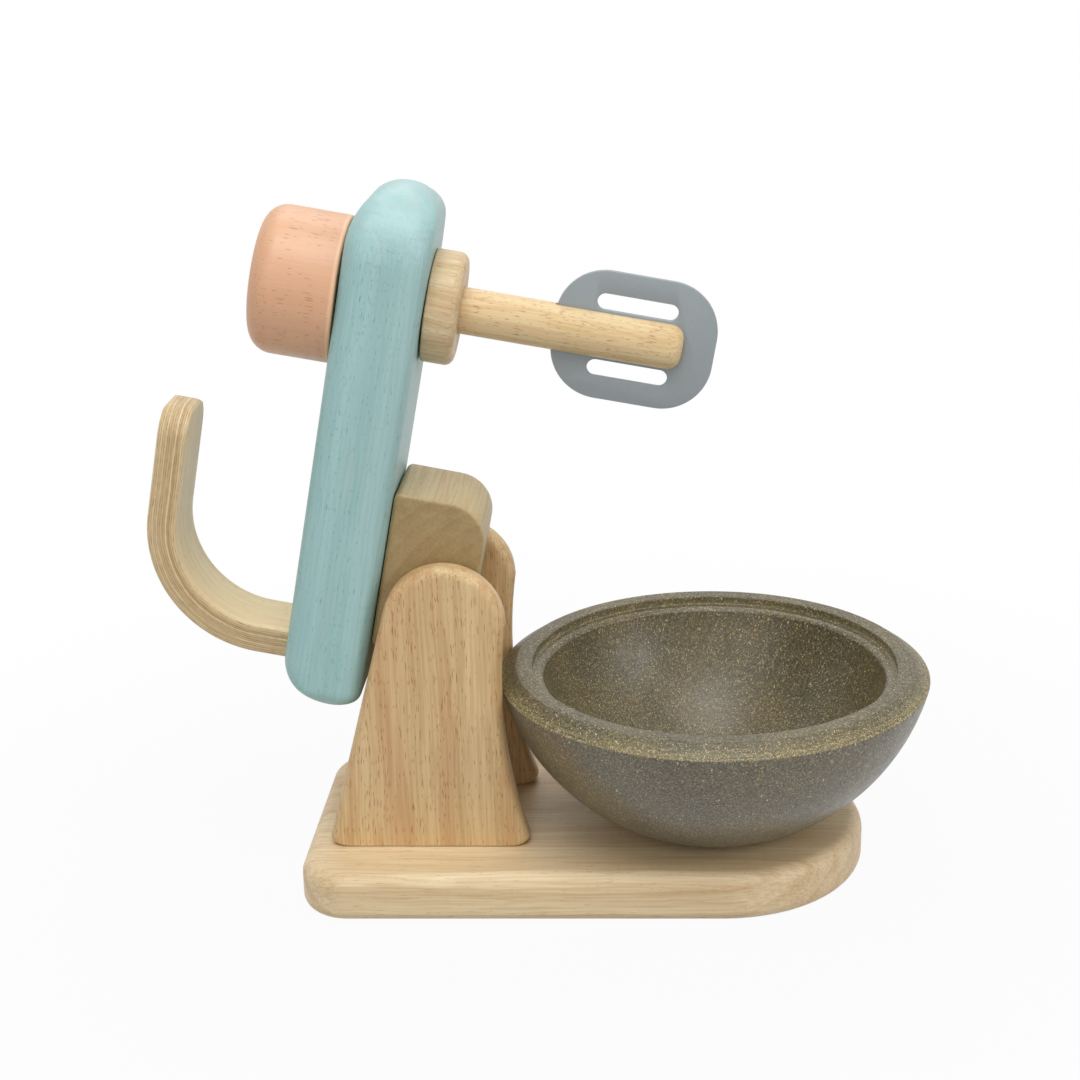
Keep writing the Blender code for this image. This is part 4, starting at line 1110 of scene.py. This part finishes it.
class OBJECT_OT_toy_mixer_paddle(Builder):
    """Builds the flat paddle with its two slots"""

    bl_idname = "object.toy_mixer_paddle"
    bl_label = "Paddle"

    def rounded(self, half, low, high, radius, steps):
        outline = Outline(-half, low + radius).bend(-half + radius, low + radius, 90, steps)
        outline.line(half - radius, low).bend(half - radius, low + radius, 90, steps)
        outline.line(half, high - radius).bend(half - radius, high - radius, 90, steps)
        outline.line(-half + radius, high).bend(-half + radius, high - radius, 90, steps)
        return outline.line(-half, low + radius).edit

    def build(self, scene):
        sizes = scene.toy_mixer_beater
        top = -sizes.paddle_top
        radius, half = sizes.paddle_corner, sizes.paddle_thickness / 2
        edit = plate(self.rounded(sizes.paddle_width / 2, top - sizes.paddle_height, top, radius, 24), half)
        slots = []
        for side in (-1, 1):
            high, wide = -sizes.slot_top, sizes.slot_width / 2
            slot = self.rounded(wide, high - sizes.slot_height, high, wide * 0.999, 12)
            slot = plate(slot, 2 * half)
            bmesh.ops.translate(slot, verts=slot.verts, vec=(side * sizes.slot_spacing / 2, 0, 0))
            slots.append(slot)
        edit = carve(edit, *slots)
        bmesh.ops.dissolve_limit(edit, angle_limit=math.radians(0.5), verts=edit.verts, edges=edit.edges)
        rounds = round_edges(edit, sharp_edges(edit, SQUARE_TURN), PADDLE_EDGE, 2)
        # Marks the rounded edges, which get a painted highlight.
        mark_faces(edit, "wear_and_edge_highlight", rounds)
        place(edit, BEATER_FRAME)
        add_piece("paddle_blade", edit, paddle_material(), "beater", ["paddle"])


class OBJECT_OT_toy_mixer_bowl(Builder):
    """Builds the bowl with its sloping band, flat rim and inner ledge"""

    bl_idname = "object.toy_mixer_bowl"
    bl_label = "Bowl"

    def build(self, scene):
        sizes = scene.toy_mixer_bowl
        band, ledge = sizes.height - sizes.band_drop, sizes.height - sizes.ledge_depth
        rim = sizes.radius - sizes.band_run
        lip = rim - sizes.rim_width
        mouth = lip - sizes.ledge_width
        outline = Outline(0, 0).line(sizes.foot_radius, 0).bow(sizes.radius, band, sizes.outer_bulge, 40)
        outline.line(rim, sizes.height).line(lip, sizes.height).line(lip, ledge).line(mouth, ledge)
        outline.bow(sizes.floor_radius, sizes.floor_thickness, -sizes.inner_bulge, 40)
        outline.line(0, sizes.floor_thickness)
        edit = turned(outline, 160)
        bmesh.ops.recalc_face_normals(edit, faces=edit.faces)
        brim = [
            e for e in sharp_edges(edit, RIM_TURN)
            if all(math.hypot(*v.co.xy) < mouth + MERGE and abs(v.co.z - ledge) < MERGE for v in e.verts)
        ]
        round_edges(edit, brim, sizes.mouth_radius, 8)
        round_edges(edit, sharp_edges(edit, RIM_TURN), BOWL_EDGE, 4)
        inside = edit.verts.layers.float.new("inside")
        for vert in edit.verts:
            radius = math.hypot(vert.co.x, vert.co.y)
            deep = vert.co.z > sizes.floor_thickness - MERGE and radius < lip - 0.0001
            wall = sizes.foot_radius + (sizes.radius - sizes.foot_radius) * vert.co.z / band
            vert[inside] = float(deep and radius < wall)
        place(edit, Matrix.Translation(BOWL_POINT))
        material = bowl_material(sizes, scene.toy_mixer_finishes)
        add_piece("bowl_turned", edit, material, "loose_bowl", ["bowl"], 60.0)


def mark_faces(edit, name, faces):
    """Marks the corners of some faces with one in a float attribute."""
    layer = edit.verts.layers.float.new(name)
    for face in faces:
        for vert in face.verts:
            vert[layer] = 1.0


def paint_rim_highlight(material, start, end):
    """Paints a highlight onto the rim of the knob, between two places on its axis."""
    net = Net(material.node_tree)
    shader = material.node_tree.nodes["Principled BSDF"]
    colour = shader.inputs["Base Color"].links[0].from_socket
    turns = (0.0, math.pi / 2 - BEATER_LEAN, 0.0)
    along = net.add("SeparateXYZ", {0: mapped(net, BEATER_POINT, turns)}).outputs[0]
    # Painted highlight: the rim is mixed towards a light peach, as if catching light.
    rim = net.spread(along, start, end, 0.0, 0.75)
    net.put(shader.inputs["Base Color"], net.mix(rim, colour, solid(linear(246, 200, 160))))


def calm_ends(material, along):
    """Weakens the streaks where a surface faces along the grain, as stain hides them there."""
    net = Net(material.node_tree)
    grain = next(node for node in material.node_tree.nodes if node.type == "GROUP")
    facing = net.vector("DOT_PRODUCT", net.add("TexCoord").outputs["Normal"], along)
    depth = grain.inputs["Streak Depth"].default_value
    net.put(grain.inputs["Streak Depth"], net.spread(net.math("ABSOLUTE", facing), 0.3, 0.8, depth, 0.12))


def darken_ends(material):
    """Darkens the cut ends of a piece whose grain runs along Y, as they soak up more oil."""
    net = Net(material.node_tree)
    shader = material.node_tree.nodes["Principled BSDF"]
    colour = shader.inputs["Base Color"].links[0].from_socket
    facing = net.add("SeparateXYZ", {0: net.add("TexCoord").outputs["Normal"]}).outputs[1]
    ends = net.spread(net.math("ABSOLUTE", facing), 0.55, 0.95)
    inputs = {0: ends, 6: colour, 7: solid(linear(228, 221, 212))}
    darker = net.add("Mix", inputs, data_type="RGBA", blend_type="MULTIPLY")
    net.put(shader.inputs["Base Color"], darker.outputs[2])


def bowl_material(sizes, finishes):
    material, net, shader = new_material("Speckled Composite", Specular_IOR_Level=0.6)
    place_now = mapped(net, BOWL_POINT)
    height = net.add("SeparateXYZ", {0: place_now}).outputs[2]
    inside = net.add("Attribute", attribute_name="inside", attribute_type="GEOMETRY").outputs["Fac"]
    above = net.spread(height, sizes.height - sizes.band_drop - 0.0002, sizes.height - sizes.band_drop)
    top = net.math("MULTIPLY", above, net.spread(inside, 0.4, 0.6, 1.0, 0.0))
    base = net.mix(inside, solid(finishes.bowl_outside), solid(finishes.bowl_inside))
    base = net.mix(top, base, solid(finishes.bowl_rim))
    edge = net.spread(height, sizes.height - sizes.band_drop, sizes.height - 0.1 * sizes.band_drop, 1.0, 0.0)
    edge = net.math("MULTIPLY", edge, top)
    base = net.mix(net.math("MULTIPLY", edge, 0.7), base, solid(finishes.bowl_edge))
    reach = net.vector("LENGTH", net.vector("MULTIPLY", place_now, (1.0, 1.0, 0.0)))
    patchy = net.fac(place_now, (30.0, 30.0, 0.0), 1.0)
    lines = net.math("SINE", net.math("MULTIPLY_ADD", patchy, 3.0, net.math("MULTIPLY", reach, 4600.0)))
    wear_and_edge_highlight = net.math("MULTIPLY", top, net.spread(patchy, 0.35, 0.6, 0.25, 0.75))
    lines = net.math("MULTIPLY", net.spread(lines, 0.0, 0.9), wear_and_edge_highlight)
    base = net.mix(lines, base, solid(linear(44, 39, 24)))
    amount = net.math("MULTIPLY_ADD", edge, 0.26, net.math("MULTIPLY_ADD", inside, 0.06, 0.15))
    values = {"Vector": place_now, "Base": base, "Amount": amount}
    values.update({"Gold": solid(finishes.fleck_gold), "Pale": solid(finishes.fleck_pale)})
    flecks = use_group(net, "Fibre Flecks", fleck_group, values)
    net.put(shader.inputs["Base Color"], flecks.outputs["Color"])
    rough = net.fac(place_now, (300.0, 300.0, 300.0), 3.0)
    rough = net.spread(rough, 0.3, 0.7, 0.3, 0.4)
    net.put(shader.inputs["Roughness"], net.math("MULTIPLY_ADD", top, 0.14, rough))
    net.bump(shader, flecks.outputs["Height"], 0.35, 0.00015)
    return material


def paddle_material():
    finishes = bpy.context.scene.toy_mixer_finishes
    material, net, shader = new_material("Painted Plate")
    place_now = mapped(net)
    grain = net.fac(place_now, (1400.0, 1400.0, 1400.0), 3.0, 0.6)
    cloud = net.fac(place_now, (60.0, 60.0, 60.0), 2.0)
    faded = solid(linear(126, 136, 142))
    colour = net.mix(net.spread(cloud, 0.3, 0.7, 0.0, 0.25), solid(finishes.paddle), faded)
    colour = net.mix(net.spread(grain, 0.35, 0.7, 0.0, 0.12), colour, solid(linear(170, 176, 180)))
    wear_and_edge_highlight = net.add("Attribute", attribute_name="wear_and_edge_highlight", attribute_type="GEOMETRY").outputs["Fac"]
    # Painted highlight: the rounded edges are lightened towards pale grey, as if catching light.
    colour = net.mix(net.spread(wear_and_edge_highlight, 0.3, 1.0, 0.0, 0.35), colour, solid(linear(186, 192, 196)))
    net.put(shader.inputs["Base Color"], colour)
    net.put(shader.inputs["Roughness"], net.spread(grain, 0.3, 0.7, 0.46, 0.58))
    net.bump(shader, grain, 0.25, 0.00005)
    return material


def rubber_material():
    if "Dark Rubber" in bpy.data.materials:
        return bpy.data.materials["Dark Rubber"]
    finishes = bpy.context.scene.toy_mixer_finishes
    material, net, shader = new_material("Dark Rubber", Specular_IOR_Level=0.3)
    grain = net.fac(mapped(net), (2200.0, 2200.0, 2200.0), 3.0)
    dust = net.mix(net.spread(grain, 0.4, 0.75, 0.0, 0.3), solid(finishes.rubber), solid(linear(70, 66, 62)))
    net.put(shader.inputs["Base Color"], dust)
    net.put(shader.inputs["Roughness"], net.spread(grain, 0.3, 0.7, 0.7, 0.9))
    net.bump(shader, grain, 0.3, 0.00005)
    return material


def steel_material():
    finishes = bpy.context.scene.toy_mixer_finishes
    material, net, shader = new_material("Drawn Steel", Metallic=1.0)
    lines = net.fac(mapped(net), (3000.0, 200.0, 3000.0), 2.0)
    dull = solid(linear(120, 120, 126))
    colour = net.mix(net.spread(lines, 0.35, 0.7, 0.0, 0.3), solid(finishes.steel), dull)
    net.put(shader.inputs["Base Color"], colour)
    net.put(shader.inputs["Roughness"], net.spread(lines, 0.3, 0.7, 0.25, 0.42))
    return material


class OBJECT_OT_toy_mixer_fittings(Builder):
    """Gives the axle, screws, dowels and pivot washers their finishes"""

    bl_idname = "object.toy_mixer_fittings"
    bl_label = "Fittings"

    def build(self, scene):
        finishes = scene.toy_mixer_finishes
        wood = plain_wood(
            "Small Dowel Wood", finishes.dowel_light, finishes.dowel_dark,
            (0.0, 0.0, 0.0), (0.0, 0.0, math.pi / 2),
            Pith=(0.0, 0.01, -0.02), Ring_Spacing=0.004, Pore_Amount=0.4, Pore_Depth=0.6,
        )
        steel, rubber = steel_material(), rubber_material()
        looks = {"pivot_axle": steel, "stop_dowel": wood, "block_dowel_1": wood, "block_dowel_2": wood}
        looks.update({f"support_screw_{number}": steel for number in (1, 2, 3, 4)})
        looks.update({f"handle_screw_{number}": steel for number in (1, 2)})
        looks.update({f"pivot_washer_{side}": rubber for side in ("right", "left")})
        for node, material in looks.items():
            frame["nodes"][node].data.materials.clear()
            frame["nodes"][node].data.materials.append(material)


class OBJECT_OT_toy_mixer_stage(Builder):
    """Sets up the camera, the lights and the pale floor"""

    bl_idname = "object.toy_mixer_stage"
    bl_label = "Stage"

    def add_light(self, scene, name, power, size, spot, aim):
        light = bpy.data.lights.new(name, "AREA")
        light.shape = "DISK"
        light.size = size
        light.energy = power
        lamp = bpy.data.objects.new(name, light)
        lamp.location = spot
        lamp.rotation_euler = (Vector(aim) - Vector(spot)).to_track_quat("-Z", "Y").to_euler()
        scene.collection.objects.link(lamp)

    def add_floor(self, size):
        edit = bmesh.new()
        bmesh.ops.create_grid(edit, x_segments=2, y_segments=2, size=size / 2)
        material, net, shader = new_material("Pale Floor", Roughness=0.9, Specular_IOR_Level=0.1)
        shader.inputs["Base Color"].default_value = (0.5, 0.5, 0.5, 1.0)
        path = net.add("LightPath").outputs
        glow = net.add("Emission", {"Color": (1.0, 1.0, 1.0, 1.0), "Strength": 1.0})
        seen = net.math("MAXIMUM", path["Is Camera Ray"], path["Is Glossy Ray"])
        away = net.spread(net.vector("LENGTH", mapped(net)), 0.1, 0.35, 0.95, 1.0)
        seen = net.math("MULTIPLY", seen, away)
        blend = net.add("MixShader", {0: seen, 1: shader.outputs[0], 2: glow.outputs[0]})
        output = next(n for n in material.node_tree.nodes if n.type == "OUTPUT_MATERIAL")
        net.put(output.inputs["Surface"], blend.outputs[0])
        add_object("pale_floor", edit, material)

    def add_sky(self, scene, strength):
        world = bpy.data.worlds.new("Soft Sky")
        world.use_nodes = True
        scene.world = world
        net = Net(world.node_tree)
        back = world.node_tree.nodes["Background"]
        back.inputs["Color"].default_value = (1.0, 1.0, 1.0, 1.0)
        path = net.add("LightPath").outputs
        seen = net.math("MAXIMUM", path["Is Camera Ray"], path["Is Glossy Ray"])
        net.put(back.inputs["Strength"], net.spread(seen, 0.0, 1.0, strength, 1.0))

    def build(self, scene):
        settings = scene.toy_mixer_stage
        data = bpy.data.cameras.new("camera")
        data.lens = settings.camera_lens
        data.sensor_width = 36.0
        data.shift_x = settings.camera_shift
        camera = bpy.data.objects.new("camera", data)
        camera.location = settings.camera_place
        camera.rotation_euler = (settings.camera_pitch, 0.0, 0.0)
        scene.collection.objects.link(camera)
        scene.camera = camera
        middle = (0.0, 0.0, 0.08)
        self.add_light(scene, "key_light", settings.key, 0.8, (0.04, -0.42, 1.08), middle)
        self.add_light(scene, "side_light", settings.side, 0.5, (0.92, -0.45, 0.5), middle)
        self.add_light(scene, "fill_light", settings.fill, 1.2, (-0.5, -1.2, 0.6), middle)
        self.add_light(scene, "back_light", settings.back, 0.7, (-0.08, 0.6, 1.05), middle)
        self.add_floor(settings.floor_size)
        self.add_sky(scene, settings.sky)
        scene.view_settings.view_transform = "Standard"


OPERATORS = (
    OBJECT_OT_toy_mixer_base,
    OBJECT_OT_toy_mixer_supports,
    OBJECT_OT_toy_mixer_head,
    OBJECT_OT_toy_mixer_block,
    OBJECT_OT_toy_mixer_handle,
    OBJECT_OT_toy_mixer_knob,
    OBJECT_OT_toy_mixer_collar,
    OBJECT_OT_toy_mixer_dowel,
    OBJECT_OT_toy_mixer_paddle,
    OBJECT_OT_toy_mixer_bowl,
    OBJECT_OT_toy_mixer_fittings,
    OBJECT_OT_toy_mixer_stage,
)


class VIEW3D_PT_toy_mixer(bpy.types.Panel):
    """Lists the building operators and the sizes and colours they use"""

    bl_label = "Toy Stand Mixer"
    bl_space_type = "VIEW_3D"
    bl_region_type = "UI"
    bl_category = "Toy Mixer"

    def draw(self, context):
        column = self.layout.column(align=True)
        for operator in OPERATORS:
            column.operator(operator.bl_idname)
        for name, group in GROUPS.items():
            box = self.layout.box()
            box.label(text=name.replace("_", " ").title())
            for label in group.__annotations__:
                box.prop(getattr(context.scene, name), label)


CLASSES = (*GROUPS.values(), *OPERATORS, VIEW3D_PT_toy_mixer)


def register():
    for added in CLASSES:
        bpy.utils.register_class(added)
    for name, group in GROUPS.items():
        setattr(bpy.types.Scene, name, PointerProperty(type=group))


def unregister():
    for name in GROUPS:
        delattr(bpy.types.Scene, name)
    for added in reversed(CLASSES):
        bpy.utils.unregister_class(added)


def main():
    register()
    for operator in OPERATORS:
        group, call = operator.bl_idname.split(".")
        getattr(getattr(bpy.ops, group), call)()


if __name__ == "__main__":
    main()
